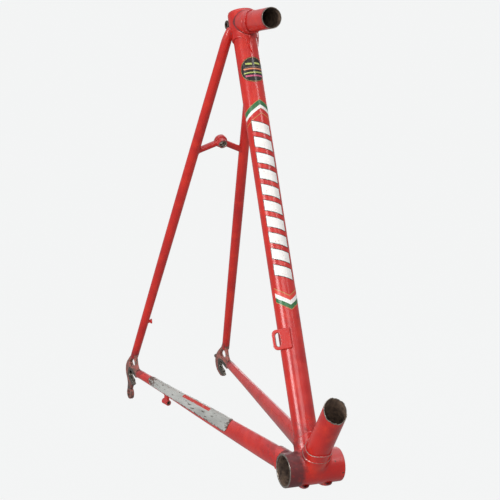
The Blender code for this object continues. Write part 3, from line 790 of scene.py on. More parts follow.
@dataclass(frozen=True)
class SprayedEnamel(Finish):
    """Red stoving enamel sprayed on brazed steel tube: a deep gloss that has faded, gone dusty on
    its upper side and chipped, with a raw brown inside and bright steel at sawn and faced edges."""

    deep: str = "#a81c1c"
    middle: str = "#c4261d"
    bright: str = "#d4331f"
    dust: str = "#b8666a"
    # Stain colour; the same dark colour also paints shade into corners and creases.
    stain_and_shade: str = "#3f2428"
    chip_dark: str = "#43302a"
    chip_pale: str = "#e08a58"
    # Bare steel colour; the same colour paints highlight lines along the bottom bracket's socket lips.
    steel: str = "#b5aca2"
    rust: str = "#75604f"
    gloss: float = 0.24

    def dress(self, tree: bpy.types.NodeTree, shader: bpy.types.Node) -> None:
        """Layer the paint, its dust, stains and painted shade, chips and scratches, and the bare places with
        their painted highlight lines.
        """
        tone = self.over(tree, linear(self.deep), linear(self.middle), self.grain(tree, 45.0, 3.0, 0.25, 0.6))
        tone = self.over(tree, tone, linear(self.bright), self.grain(tree, 16.0, 6.0, 0.5, 0.8))
        normal = add(tree, "ShaderNodeNewGeometry").outputs["Normal"]
        upward = add(tree, "ShaderNodeSeparateXYZ", {0: normal}).outputs["Z"]
        facing = add(tree, "ShaderNodeMapRange", {"Value": upward, "From Min": 0.1, "From Max": 0.95,
                                                  "To Max": 0.55}, clamp=True).outputs[0]
        dusty = add(tree, "ShaderNodeMath", {0: facing, 1: self.grain(tree, 22.0, 5.0, 0.2, 0.6)},
                    operation="MULTIPLY").outputs[0]
        tone = self.over(tree, tone, linear(self.dust), dusty)
        # Dark stains, and painted shade in corners and creases, come from the same mask.
        stained_and_shaded = self.worn(tree, "grime_and_shade", 7.0, 0.6, 0.28)
        tone = self.over(tree, tone, linear(self.stain_and_shade),
                         add(tree, "ShaderNodeMath", {0: stained_and_shaded, 1: 0.85}, operation="MULTIPLY").outputs[0])
        # Chips: stone and tool knocks, 0.6 to 1.5 mm across, thick where the frame has been handled.
        cells = add(tree, "ShaderNodeTexVoronoi", {"Vector": self.place(tree), "Scale": 1000.0 / 8.0})
        handled = add(tree, "ShaderNodeAttribute", attribute_name="wear").outputs["Fac"]
        patchy = add(tree, "ShaderNodeMath", {0: self.grain(tree, 30.0, 4.0, 0.5, 0.75), 1: 0.11},
                     operation="MULTIPLY").outputs[0]
        reach = add(tree, "ShaderNodeMath", {0: handled, 1: 0.17, 2: patchy},
                    operation="MULTIPLY_ADD").outputs[0]
        jagged = add(tree, "ShaderNodeMath", {0: self.grain(tree, 1.2, 3.0), 1: 0.1,
                                              2: cells.outputs["Distance"]},
                    operation="MULTIPLY_ADD").outputs[0]
        chip = add(tree, "ShaderNodeMath", {0: jagged, 1: reach}, operation="LESS_THAN").outputs[0]
        shade = add(tree, "ShaderNodeSeparateXYZ", {0: cells.outputs["Color"]}).outputs["X"]
        pale = add(tree, "ShaderNodeMath", {0: shade, 1: 0.6}, operation="GREATER_THAN").outputs[0]
        tone = self.over(tree, tone, self.over(tree, linear(self.chip_dark), linear(self.chip_pale), pale),
                         chip)
        # Scratches: hairlines that run mostly up and down, drawn 0.25 mm wide so that they show.
        hair = self.grain(tree, 2.0, 2.0, 0.72, 0.76, (1.0, 1.0, 0.06))
        hair = add(tree, "ShaderNodeMath", {0: hair, 1: 0.35}, operation="MULTIPLY").outputs[0]
        tone = self.over(tree, tone, linear(self.dust), hair)
        # Bare steel, and painted highlight lines along socket lips, come from the same mask.
        bare = self.worn(tree, "bare", 1.5, 0.35)
        raw = self.worn(tree, "bore", 3.0, 0.1)
        rough_rust = self.over(tree, linear(self.rust), linear("#3d2f28"), self.grain(tree, 5.0, 5.0))
        tone = self.over(tree, tone, rough_rust, raw)
        metal = self.over(tree, linear(self.steel), linear("#6f655c"), self.grain(tree, 2.5, 4.0))
        tree.links.new(self.over(tree, tone, metal, bare), shader.inputs["Base Color"])
        gloss = self.level(tree, self.gloss, 0.5, dusty)
        for where, rough in ((stained_and_shaded, 0.5), (raw, 0.85), (bare, 0.38)):
            gloss = self.level(tree, gloss, rough, where)
        tree.links.new(gloss, shader.inputs["Roughness"])
        tree.links.new(bare, shader.inputs["Metallic"])
        shader.inputs["IOR"].default_value = 1.5
        peel = self.grain(tree, 2.2, 2.0)
        pitted = self.level(tree, peel, self.grain(tree, 1.0, 6.0), raw)
        self.relief(tree, shader, self.level(tree, pitted, 0.0, chip), 0.05)


@dataclass(frozen=True)
class OiledForging(Finish):
    """Forged steel dropout with thin, faded enamel: brown-pink paint under old chain oil, rubbed
    to dark bare steel where the axle clamps."""

    paint: str = "#9c463f"
    faded: str = "#a56a5f"
    oil: str = "#4a4638"
    steel: str = "#57524b"

    def dress(self, tree: bpy.types.NodeTree, shader: bpy.types.Node) -> None:
        """Layer paint, oil and rubbed metal."""
        tone = self.over(tree, linear(self.paint), linear(self.faded), self.grain(tree, 7.0, 5.0))
        oily = self.grain(tree, 5.0, 6.0, 0.45, 0.62)
        tone = self.over(tree, tone, linear(self.oil), add(tree, "ShaderNodeMath", {0: oily, 1: 0.8},
                                                           operation="MULTIPLY").outputs[0])
        soaked = self.worn(tree, "grime_and_shade", 4.0, 0.6, 0.15)
        tone = self.over(tree, tone, linear("#3a332d"), soaked)
        bare = self.worn(tree, "bare", 1.6, 0.5)
        metal = self.over(tree, linear(self.steel), linear("#8b847a"), self.grain(tree, 1.2, 3.0, 0.45, 0.7))
        tree.links.new(self.over(tree, tone, metal, bare), shader.inputs["Base Color"])
        gloss = self.level(tree, self.level(tree, 0.55, 0.35, oily), 0.42, bare)
        tree.links.new(gloss, shader.inputs["Roughness"])
        tree.links.new(bare, shader.inputs["Metallic"])
        self.relief(tree, shader, self.grain(tree, 1.5, 5.0), 0.09)


@dataclass(frozen=True)
class ZincPlatedSteel(Finish):
    """Zinc-plated screw steel, dulled to dark grey with rust in its corners."""

    zinc: str = "#6d6963"
    dull: str = "#3f3c38"
    rust: str = "#6b4630"

    def dress(self, tree: bpy.types.NodeTree, shader: bpy.types.Node) -> None:
        """Layer dull zinc and specks of rust."""
        tone = self.over(tree, linear(self.zinc), linear(self.dull), self.grain(tree, 3.0, 5.0))
        rusty = self.grain(tree, 1.6, 5.0, 0.58, 0.66)
        tree.links.new(self.over(tree, tone, linear(self.rust), rusty), shader.inputs["Base Color"])
        tree.links.new(self.level(tree, 1.0, 0.1, rusty), shader.inputs["Metallic"])
        tree.links.new(self.level(tree, 0.36, 0.8, rusty), shader.inputs["Roughness"])
        self.relief(tree, shader, self.grain(tree, 0.8, 4.0), 0.03)


@dataclass(frozen=True)
class SilverFilm(Finish):
    """Metallised adhesive film: pale satin silver, scuffed by the chain down to dull grey."""

    silver: str = "#d0d1cc"
    grey: str = "#a2a39e"
    scuff: str = "#5f5a55"

    def dress(self, tree: bpy.types.NodeTree, shader: bpy.types.Node) -> None:
        """Layer silver, cloudy wear and fine scuffs along the stay."""
        streaks = self.grain(tree, 12.0, 6.0, stretch=(0.15, 1.0, 1.0))
        tone = self.over(tree, linear(self.silver), linear(self.grey), streaks)
        scuffs = self.grain(tree, 2.4, 4.0, 0.6, 0.68, (0.12, 1.0, 1.0))
        tone = self.over(tree, tone, linear(self.scuff), scuffs)
        dirty = self.worn(tree, "grime_and_shade", 3.0, 0.8)
        tone = self.over(tree, tone, linear("#6e5750"), dirty)
        tree.links.new(tone, shader.inputs["Base Color"])
        shader.inputs["Metallic"].default_value = 0.35
        tree.links.new(self.level(tree, 0.36, 0.7, scuffs), shader.inputs["Roughness"])
        self.relief(tree, shader, self.grain(tree, 3.0, 4.0), 0.05)


@dataclass(frozen=True)
class PrintedVinyl(Finish):
    """Ink on a vinyl transfer: flat even colour with a soft sheen, rubbed through in places."""

    ink: str = "#ffffff"
    below: str = "#b62a26"
    rubbed: float = 0.66
    sheen: float = 0.34

    def dress(self, tree: bpy.types.NodeTree, shader: bpy.types.Node) -> None:
        """Ink with a faint cloud, and specks where what lies below shows."""
        cloud = add(tree, "ShaderNodeMath", {0: self.grain(tree, 9.0, 4.0), 1: 0.12},
                    operation="MULTIPLY").outputs[0]
        tone = self.over(tree, linear(self.ink), linear("#8a7a70"), cloud)
        rubbed = self.grain(tree, 1.8, 6.0, self.rubbed, self.rubbed + 0.04)
        tree.links.new(self.over(tree, tone, linear(self.below), rubbed), shader.inputs["Base Color"])
        shader.inputs["Roughness"].default_value = self.sheen
        self.relief(tree, shader, self.grain(tree, 2.2, 2.0), 0.03)


@dataclass(frozen=True)
class MattPaper(Finish):
    """Seamless paper, lit from behind so evenly that it shows no shade: pale, matt and plain."""

    tone: str = "#f3f4f4"

    def dress(self, tree: bpy.types.NodeTree, shader: bpy.types.Node) -> None:
        """Set one glow and no gloss."""
        shader.inputs["Base Color"].default_value = linear("#101010")
        shader.inputs["Roughness"].default_value = 0.95
        shader.inputs["Specular IOR Level"].default_value = 0.0
        shader.inputs["Emission Color"].default_value = linear(self.tone)
        shader.inputs["Emission Strength"].default_value = 1.0


FINISHES: tuple[Finish, ...] = (
    SprayedEnamel("sprayed_enamel"), OiledForging("oiled_forging"), ZincPlatedSteel("zinc_plated_steel"),
    SilverFilm("silver_film"), PrintedVinyl("white_vinyl", "#eeece8"),
    PrintedVinyl("black_vinyl", "#17130f", "#3a1512", 0.70, 0.28), PrintedVinyl("green_vinyl", "#1f6b3a"),
    PrintedVinyl("gold_vinyl", "#b98a4a"), PrintedVinyl("scarlet_vinyl", "#d8382a"),
    *(PrintedVinyl(f"{name}_vinyl", ink, "#17130f", 0.70) for name, ink in
      (("lime", "#b9c46a"), ("pink", "#c9557c"), ("orange", "#e08a62"), ("grey", "#7d6a68"))),
    PrintedVinyl("red_vinyl", "#b5302a", "#a9aaa5", 0.64),
    MattPaper("matt_paper"))


# ---------------------------------------------------------------- sub-assemblies
@dataclass
class SubAssembly:
    """What every sub-assembly needs: the frame's skeleton and the builder that dresses pieces."""

    bones: Skeleton
    builder: Builder

    def build(self) -> None:
        """Make this sub-assembly's pieces."""
        raise NotImplementedError


def shared(start: float, end: float, step: float) -> list[float]:
    """Stations from start to end, about a step apart."""
    return np.linspace(start, end, max(2, round(abs(end - start) / step) + 1)).tolist()


@dataclass
class MainTubes(SubAssembly):
    """Seat tube and the sawn stubs of the top tube and the down tube."""

    seat_start: float = 22.0
    slit_w: float = 2.5
    slit_end: float = 507.0
    slit_hole_r: float = 2.6
    rim: float = 0.8                    # width of the bare metal at a sawn end

    def build(self) -> None:
        """Make the three tubes."""
        self.seat_tube()
        self.top_stub()
        self.down_stub()

    def seat_tube(self) -> None:
        """Seat tube, slit at the back of its mouth."""
        bones, axis = self.bones, self.bones.seat
        stations = shared(self.seat_start, bones.seat_end, 9.0)
        shape = pipe(axis, [stations[0], stations[0] + 0.2] + stations[1:-1]
                     + [bones.seat_end - 0.2, bones.seat_end],
                     bones.seat_r, bones.seat_bore_r)
        masks = {"bore": bore_mask(axis, bones.seat_bore_r + 0.3),
                 "bare": station_mask(axis, bones.seat_end - 0.6, bones.seat_end - 0.1),
                 "grime_and_shade": station_mask(axis, 62.0, 36.0, 0.4),
                 "wear": lambda points: 0.35 * fade(np.abs(axis.local(points)[0] - 150.0), 40.0, 8.0)}
        tube = self.builder.add("seat_tube_visual", shape, nodes=["seat_tube"], masks=masks)
        corners = [axis.point(at, across, sideways)
                   for at in (self.slit_end, 570.0)
                   for across, sideways in ((-25, -self.slit_w / 2), (-8, -self.slit_w / 2),
                                            (-8, self.slit_w / 2), (-25, self.slit_w / 2))]
        slot = loft([np.array(corners[:4]), np.array(corners[4:])])
        drill = Axis(axis.point(self.slit_end), -axis.zero, axis.side)
        hole = loft([ring(drill, at, self.slit_hole_r, count=31) for at in (8.0, 24.0)])
        self.builder.carve(tube, [slot, hole])

    def top_stub(self) -> None:
        """Top tube stub: a clean cut with a burr."""
        bones, axis = self.bones, self.bones.top
        stations = [15.0, 15.3] + shared(20.0, bones.top_cut - 1.0, 7.0)

        def end(angle: Array) -> Array:
            """The rough, nearly square sawn end."""
            return bones.top_cut - 0.15 + 0.15 * np.sin(7 * angle) * np.sin(3 * angle + 1)
        stations += [lambda angle: end(angle) - 0.35, end]
        masks = {"bore": bore_mask(axis, bones.top_bore_r + 0.3),
                 "bare": station_mask(axis, bones.top_cut - 1.1, bones.top_cut - 0.5),
                 "grime_and_shade": station_mask(axis, bones.top_cut - 9, bones.top_cut - 1, 0.6),
                 "wear": station_mask(axis, bones.top_cut - 16, bones.top_cut - 2, 0.6)}
        self.builder.add("top_tube_visual", pipe(axis, stations, bones.top_r, bones.top_bore_r),
                         "sprayed_enamel",
                         Slot.PAINT, nodes=["top_tube_stub"], masks=masks)

    def down_stub(self) -> None:
        """Down tube stub: a slanting hacksaw cut with a torn, bright rim."""
        bones, axis = self.bones, self.bones.down

        def end(angle: Array) -> Array:
            """The torn, slanting sawn end."""
            torn = 0.45 * np.sin(5 * angle + 0.6) + 0.3 * np.sin(11 * angle) + 0.22 * np.sin(23 * angle + 2.0)
            bite = 1.1 * np.exp(-((np.mod(angle - 4.3, 2 * math.pi) - 0.3) / 0.13) ** 2)
            return bones.down_cut + bones.down_slant * np.cos(angle) + torn - bite - 0.2
        stations: list[Bound] = [self.seat_start, self.seat_start + 0.3] + shared(32.0, 90.0, 6.0)
        stations += [lambda angle: end(angle) - 1.6, lambda angle: end(angle) - 0.5, end]

        def rim(points: Array) -> Array:
            """Bare metal along the cut."""
            station, _, angle = axis.polar(points)
            return fade(end(angle) - station, self.rim + 0.4, self.rim - 0.5)
        masks = {"bore": bore_mask(axis, bones.down_bore_r + 0.3), "bare": rim,
                 "wear": lambda points: 0.35 + 0.4 * rim(points)}
        self.builder.add("down_tube_visual", pipe(axis, stations, bones.down_r, bones.down_bore_r, 160),
                         nodes=["down_tube_stub"], masks=masks)


def wave_edge(base: float, wave: float) -> Callable[[Array], Array]:
    """Edge of a socket that reaches further at its front and back than at its sides."""
    return lambda angle: base + wave * np.cos(2.0 * angle)


@dataclass
class BottomBracket(SubAssembly):
    """Cast shell with four sockets, its threads and the two cable guides under it."""

    shell_r: float = 20.0
    bore_r: float = 17.5
    half_width: float = 35.0
    wall: float = 1.7                   # of a socket, with the gap that the braze fills
    fillet: float = 3.5
    thread_pitch: float = 1.058         # 24 threads to the inch
    thread_from: float = 12.0
    stay_tall: float = 13.3
    stay_wide: float = 8.5
    guide_r: float = 5.0
    guide_bore_r: float = 3.7
    guide_centre_r: float = 18.4
    cell: float = 0.7

    def build(self) -> None:
        """Make the shell, its threads and the guides."""
        self.casting()
        for side in Side:
            self.threads(side)
        self.guide("right_cable_guide", -11.0, 0.0)
        self.guide("left_cable_guide", 16.0, 14.0)

    def casting(self) -> None:
        """The shell, with fillets between barrel and sockets."""
        bones = self.bones
        shell, seat, down = bones.shell, bones.seat, bones.down
        socket_r = bones.seat_r + self.wall
        body = Solid.bar(shell, -self.half_width, self.half_width, self.shell_r, 0.5)
        sockets = Solid.bar(seat, 4.0, wave_edge(36.0, 4.0), socket_r, 0.7).join(
            Solid.bar(down, 4.0, wave_edge(37.0, 3.0), socket_r, 0.7), 2.0)
        collar = Solid.bar(down, 4.0, wave_edge(27.0, 2.0), socket_r + 0.9, 0.7)
        sockets = sockets.join(collar, 0.4)
        for side in Side:
            stay = Solid.oval(bones.chainstay(side), -12.0, wave_edge(17.0, 3.0), self.stay_tall + self.wall,
                              self.stay_wide + self.wall, 0.8)
            sockets = sockets.join(stay, 2.5)
        body = body.join(sockets, self.fillet)
        for axis, tube_r in ((seat, bones.seat_r), (down, bones.down_r)):
            body = body.cut(Solid.bar(axis, 22.0, 70.0, tube_r, 0.1))
            body = body.cut(Solid.bar(axis, 2.0, 40.0, 10.5, 0.1), 0.5)
        for side in Side:
            axis = bones.chainstay(side)
            body = body.cut(Solid.oval(axis, 3.4, 60.0, self.stay_tall, self.stay_wide, 0.1))
            body = body.cut(Solid.oval(axis, -14.0, 20.0, 7.0, 5.0, 0.1), 0.5)
        body = body.cut(Solid.bar(shell, -60.0, 60.0, self.bore_r), 0.6)
        shape = skin_over(body, "bottom_bracket_shell", self.cell)

        def bare(points: Array) -> Array:
            """Bare metal on the faces, and painted highlight lines along the lips of the sockets, drawn as
            bare steel.
            """
            station, radius, _ = shell.polar(points)
            face = fade(np.abs(station), self.half_width - 0.7, self.half_width - 0.15)
            face = face * (radius < self.shell_r + 0.2) * (0.75 + 0.25 * (station < 0))
            reach, away, angle = down.polar(points)
            # Painted highlight lines along the lips of the down tube's socket and collar.
            lips = [fade(np.abs(reach - wave_edge(base, wave)(angle)), 0.9, 0.2)
                    * (np.abs(away - edge_r) < 0.9)
                    for base, wave, edge_r in ((36.6, 3.0, socket_r), (26.6, 2.0, socket_r + 0.9))]
            return np.maximum(face, 0.62 * np.maximum(*lips))

        def bore(points: Array) -> Array:
            """Inside the shell and its tubes."""
            inside = shell.polar(points)[1] < self.bore_r + 0.35
            for axis in (seat, down):
                station, radius, _ = axis.polar(points)
                inside |= (radius < bones.seat_r - 1.0) & (station > 0)
            return inside.astype(float)

        def grime_and_shade(points: Array) -> Array:
            """Old oil low on the shell, and painted shade in the corner above it behind the seat tube."""
            station, radius, _ = shell.polar(points)
            oily = fade(station, -9.0, -22.0) * (radius < self.shell_r + 9.0)
            # Painted shade in the corner behind the seat tube, above the shell.
            crotch = fade(points[:, 2], 18.0, 26.0) * fade(points[:, 0], 8.0, -6.0) * (station < 14)
            foot = 0.7 * fade(np.abs(station + 19.0), 6.0, 1.0)
            return np.maximum.reduce([0.95 * oily, 0.5 * crotch, foot])
        masks = {"bare": bare, "bore": bore, "grime_and_shade": grime_and_shade,
                 "wear": lambda points: 0.55 + 0.35 * fade(points[:, 1], 18.0, 30.0)}
        self.builder.add("bottom_bracket_visual", shape, nodes=["bottom_bracket_shell"], masks=masks)

    def threads(self, side: Side) -> None:
        """The thread of one cup, as a ring of grooves that lines the bore."""
        rings = []
        axis = self.bones.shell
        turns = int((self.half_width - 1.5 - self.thread_from) / self.thread_pitch)
        for turn in range(turns):
            for share, depth in ((0.0, 0.0), (0.5, 0.45)):
                station = side.value * (self.thread_from + (turn + share) * self.thread_pitch)
                rings.append(ring(axis, station, self.bore_r - 0.5 + depth, count=72))
        rings.append(ring(axis, side.value * (self.thread_from + turns * self.thread_pitch),
                          self.bore_r + 0.3,
                          count=72))
        rings.append(ring(axis, side.value * self.thread_from, self.bore_r + 0.3, count=72))
        self.builder.add(f"{side.word}_cup_thread", loft(rings, closed=True),
                         masks={"bore": even(1.0)}, sharp=80.0)

    def guide(self, name: str, offset: float, turn: float) -> None:
        """A half-round tunnel that leads a gear cable round the shell's underside.

        Args:
            name: The CAD node.
            offset: Where it crosses the shell, along Y.
            turn: How far it slants, in degrees.
        """
        shell = Solid.bar(self.bones.shell, -60.0, 60.0, self.shell_r)

        def tunnel(radius: float, reach: float) -> Solid:
            """A round bar bent about the shell, reaching that many degrees each way."""
            def distance(points: Array) -> Array:
                """Distance to the bent bar."""
                x, y, z = points.T
                across = y - offset - math.tan(math.radians(turn)) * x
                wall = np.hypot(np.hypot(x, z) - self.guide_centre_r, across) - radius
                away = np.abs(np.arctan2(x, -z) + math.radians(5.0)) - math.radians(reach)
                return rounded_corner(wall, away * self.shell_r, 0.3)
            return Solid(distance)
        piece = tunnel(self.guide_r, 31.0).join(shell, 0.8).cut(shell).cut(tunnel(self.guide_bore_r, 50.0))
        shape = skin_over(piece, name, 0.32, 0.5, (0.5, 0.5, 1.0))

        def sooty(points: Array) -> Array:
            """Grime at both ends of the guide."""
            x, _, z = points.T
            return fade(np.abs(np.arctan2(x, -z) + math.radians(5.0)), math.radians(25.0), math.radians(31.0))
        self.builder.add(f"{name}_visual", shape, nodes=[name], masks={"grime_and_shade": sooty, "wear": even(0.7)})


@dataclass
class SeatCluster(SubAssembly):
    """Seat lug with its clamp ears, and the binder bolt and nut."""

    lug_top: float = 556.0
    side_edge: float = 521.0
    spear: float = 23.0
    wall: float = 1.7
    ear_r: float = 6.4
    ear_half: float = 8.0
    shank_r: float = 2.7
    head_r: float = 5.6
    head_h: float = 4.2
    cell: float = 0.48

    def build(self) -> None:
        """Make the lug, the bolt and the nut."""
        self.lug()
        self.bolt()
        self.nut()

    def lower_edge(self, angle: Array) -> Array:
        """The lug's lower edge: short at the sides, one long point at the front."""
        away = np.abs(np.degrees(angle))
        return self.side_edge - self.spear * np.exp(-away / 15.0) - 6.0 * np.exp((away - 180.0) / 30.0)

    def rib_edge(self, angle: Array) -> Array:
        """The edge of the thicker layer round the top tube's socket."""
        away = np.abs(np.degrees(angle))
        return 530.5 - 13.5 * np.exp(-away / 19.0) + 40.0 * fade(away, 95.0, 150.0)

    def lug(self) -> None:
        """Collar, thicker front layer, top tube socket and ears."""
        bones = self.bones
        seat, top, binder = bones.seat, bones.top, bones.binder
        collar_r = bones.seat_r + self.wall
        body = Solid.bar(seat, self.lower_edge, self.lug_top, collar_r, 0.6)
        layer = Solid.bar(seat, self.rib_edge, self.lug_top - 2.0, collar_r + 0.75, 0.6)
        body = body.join(layer, 0.5)
        socket = Solid.bar(top, 2.0, wave_edge(35.0, -4.5), bones.top_r + 1.5, 0.6)
        inner = Solid.bar(top, 2.0, wave_edge(27.0, -3.5), bones.top_r + 2.1, 0.6)
        body = body.join(socket.join(inner, 0.4), 1.2)
        ears = Solid.bar(binder, -self.ear_half, self.ear_half, self.ear_r, 0.6)
        root = Solid.block(seat, (543.0, 553.0), (-22.0, -10.0), (-7.4, 7.4), 1.5)
        body = body.join(ears.join(root, 2.5), 2.0)
        body = body.cut(Solid.bar(seat, 470.0, 640.0, bones.seat_r), 0.3)
        body = body.cut(Solid.bar(top, 3.0, 60.0, bones.top_r, 0.1))
        body = body.cut(Solid.block(seat, (507.0, 600.0), (-40.0, -5.0), (-1.25, 1.25), 0.1), 0.5)
        body = body.cut(Solid.bar(binder, -20.0, 20.0, self.shank_r + 0.3, 0.1), 0.4)
        shape = skin_over(body, "seat_lug", self.cell, 0.5, 0.5)
        # The dark mask here is painted shade in the crease between the collar and the top tube's socket.
        masks = {"bare": station_mask(seat, self.lug_top - 0.6, self.lug_top - 0.1, 0.5),
                 "grime_and_shade": self.painted_crease_shade,
                 "wear": station_mask(seat, self.lug_top - 3.0, self.lug_top, 0.5, 0.25)}
        self.builder.add("seat_lug_visual", shape, nodes=["seat_lug"], masks=masks)

    def painted_crease_shade(self, points: Array) -> Array:
        """Painted shade in the corner between the collar and the top tube's socket."""
        collar = np.abs(self.bones.seat.polar(points)[1] - self.bones.seat_r - self.wall - 1.0)
        socket = np.abs(self.bones.top.polar(points)[1] - self.bones.top_r - 2.0)
        return 0.95 * fade(np.hypot(collar, socket), 1.5, 0.3)

    def bolt(self) -> None:
        """Socket-head bolt, entered from the right."""
        axis = self.bones.binder
        under = -self.ear_half - 0.3
        top = under - self.head_h
        body = Solid.bar(axis, top, under, self.head_r, 0.9)
        body = body.join(Solid.bar(axis, under - 1.0, self.ear_half + 3.4, self.shank_r, 0.4))

        def hexagon(points: Array) -> Array:
            """Distance to a hexagonal prism."""
            station, across, sideways = axis.local(points)
            flats = [np.abs(across * math.cos(turn) + sideways * math.sin(turn))
                     for turn in np.radians((30.0, 90.0, 150.0))]
            return np.maximum(np.maximum.reduce(flats) - 2.5, station - top - 2.6)
        body = body.cut(Solid(hexagon), 0.4)
        shape = skin_over(body, "seat_binder_bolt", 0.24)
        self.builder.add("seat_binder_bolt_visual", shape, "zinc_plated_steel", Slot.STEEL, "binder_bolt",
                         ["seat_binder_bolt"])

    def nut(self) -> None:
        """Round nut on the left, with two flats for a spanner."""
        axis = self.bones.binder
        low = self.ear_half + 0.3
        body = Solid.bar(axis, low, low + 3.8, 5.4, 0.7)
        body = body.keep(Solid.block(axis, (low - 1, low + 6), (-4.7, 4.7), (-9, 9)), 0.3)
        body = body.cut(Solid.bar(axis, 0.0, 30.0, self.shank_r + 0.25), 0.3)
        shape = skin_over(body, "seat_binder_nut", 0.24)
        self.builder.add("seat_binder_nut_visual", shape, "zinc_plated_steel", Slot.STEEL,
                         nodes=["seat_binder_nut"])


@dataclass
class Stays(SubAssembly):
    """Both seatstays with their caps, and both chainstays."""

    cap_from: float = 14.0              # start of the cap, above the stay's top point
    cap_length: float = 22.0
    cap_slant: float = 8.0
    top_r: float = 6.2
    chain_start: float = 4.0
    chain_sections: tuple[tuple[float, float, float], ...] = (
        (0.0, 13.3, 8.5), (0.12, 13.5, 8.4), (0.27, 12.6, 7.0), (0.42, 11.4, 6.2), (0.56, 10.0, 6.0),
        (0.70, 8.0, 5.9), (0.83, 6.4, 5.8), (0.93, 5.8, 5.7), (1.0, 5.6, 5.4))

    def build(self) -> None:
        """Make the stays of both sides."""
        for side in Side:
            self.seatstay(side)
            self.cap(side)
            self.chainstay(side)

    def seat_radius(self, station: float) -> float:
        """Seatstay radius: slim foot, full middle, slightly slimmer top."""
        along = station / self.bones.seatstay_length
        if along < 0.65:
            return 5.2 + 1.3 * math.sin(math.pi / 2 * min(1.0, along / 0.65))
        return 6.5 - 0.3 * (along - 0.65) / 0.35

    def cap_joint(self, side: Side) -> Callable[[Array], Array]:
        """The slanting joint between stay and cap, lower on the outer side."""
        start = self.bones.seatstay_length + self.cap_from
        return lambda angle: start - self.cap_slant * side.value * np.sin(angle)

    def seatstay(self, side: Side) -> None:
        """One seatstay: a drawn tube with a domed foot, solid where it meets the dropout."""
        axis = self.bones.seatstay(side)
        joint = self.cap_joint(side)
        dome = [(-2.5 + 3.7 * share, 2.6 + 2.6 * math.sqrt(1 - (1 - share) ** 2))
                for share in (0.0, 0.1, 0.3, 0.6, 1.0)]
        rings = [ring(axis, station, radius, count=64) for station, radius in dome]
        rings += [ring(axis, station, self.seat_radius(station), count=64)
                  for station in shared(8.0, self.bones.seatstay_length, 8.0)]
        rings.append(ring(axis, lambda angle: joint(angle) + 0.2, self.top_r, count=64))
        masks = {"grime_and_shade": station_mask(axis, 22.0, 0.0, 0.7),
                 "wear": station_mask(axis, 40.0, 5.0, 0.5, 0.25)}
        self.builder.add(f"{side.word}_seatstay_visual", loft(rings),
                         nodes=[f"{side.word}_seatstay"], masks=masks)

    def cap(self, side: Side) -> None:
        """Solid cap with a long scalloped face, brazed on to the side of the lug."""
        bones = self.bones
        axis = bones.seatstay(side)
        start = bones.seatstay_length + self.cap_from
        joint = self.cap_joint(side)

        def taper(station: Array) -> Array:
            """Radius of the cap, drawn in towards its tip."""
            share = np.clip((station - start) / self.cap_length, 0.0, 1.0)
            return self.top_r * np.sqrt(1.0 - 0.75 * share ** 2)
        body = Solid.bar(axis, lambda angle: joint(angle) - 6.0, start + self.cap_length, taper, 1.2)
        scoop = Axis(axis.point(start + 10.0, -1.0, side.value * 17.2),
                     axis.along - side.value * 0.13 * axis.side,
                     axis.zero)
        body = body.cut(Solid.bar(scoop, -14.0, 30.0, 12.5, 4.0), 0.5)
        collar = Solid.bar(bones.seat, 480.0, 600.0, bones.seat_r + 1.7)
        body = body.brazed(collar, 1.6).cut(Solid.bar(bones.top, -2.0, 50.0, bones.top_r + 1.5))
        body = body.keep(Solid.bar(axis, start - 14.0, start + self.cap_length + 1.0, 11.0, 0.5))
        shape = skin_over(body, f"{side.word}_seatstay_cap", 0.4, (2, 1.5, 3), (2, 1.5, 2))
        # Darker where the cap meets the lug's collar: painted shade in that corner.
        masks = {"grime_and_shade": lambda points: 0.5 * fade(bones.seat.polar(points)[1], 17.6, 16.2),
                 "wear": even(0.45)}
        self.builder.add(f"{side.word}_seatstay_cap_visual", shape,
                         nodes=[f"{side.word}_seatstay_cap"], masks=masks)

    def chain_section(self, station: float) -> tuple[float, float]:
        """Half height and half width of a chainstay."""
        fractions, tall, wide = np.array(self.chain_sections).T
        window = np.clip(station / self.bones.chainstay_length + np.linspace(-0.05, 0.05, 11), 0.0, 1.0)
        return (float(np.interp(window, fractions, tall).mean()),
                float(np.interp(window, fractions, wide).mean()))

    def chainstay(self, side: Side) -> None:
        """One chainstay: drawn from a tall oval to a round foot with a domed end."""
        axis, length = self.bones.chainstay(side), self.bones.chainstay_length
        rings = []
        for station in shared(self.chain_start, length - 4.0, 6.0):
            rings.append(ring(axis, station, *self.chain_section(station), count=72))
        tall, wide = self.chain_section(length)
        for share in (0.35, 0.6, 0.8, 0.93, 1.0):
            shrink = math.sqrt(1.0 - (0.8 * share) ** 2)
            rings.append(ring(axis, length - 4.0 + 4.8 * share, tall * shrink, wide * shrink, count=72))
        masks = {"grime_and_shade": lambda points: np.maximum(0.75 * fade(axis.local(points)[0], length - 30.0, length),
                                                    0.35 * fade(axis.local(points)[0], 60.0, 18.0)),
                 "wear": lambda points: 0.25 + 0.45 * (side is Side.RIGHT) *
                                        fade(points[:, 0], -240.0, -330.0)}
        self.builder.add(f"{side.word}_chainstay_visual", loft(rings),
                         nodes=[f"{side.word}_chainstay"], masks=masks)


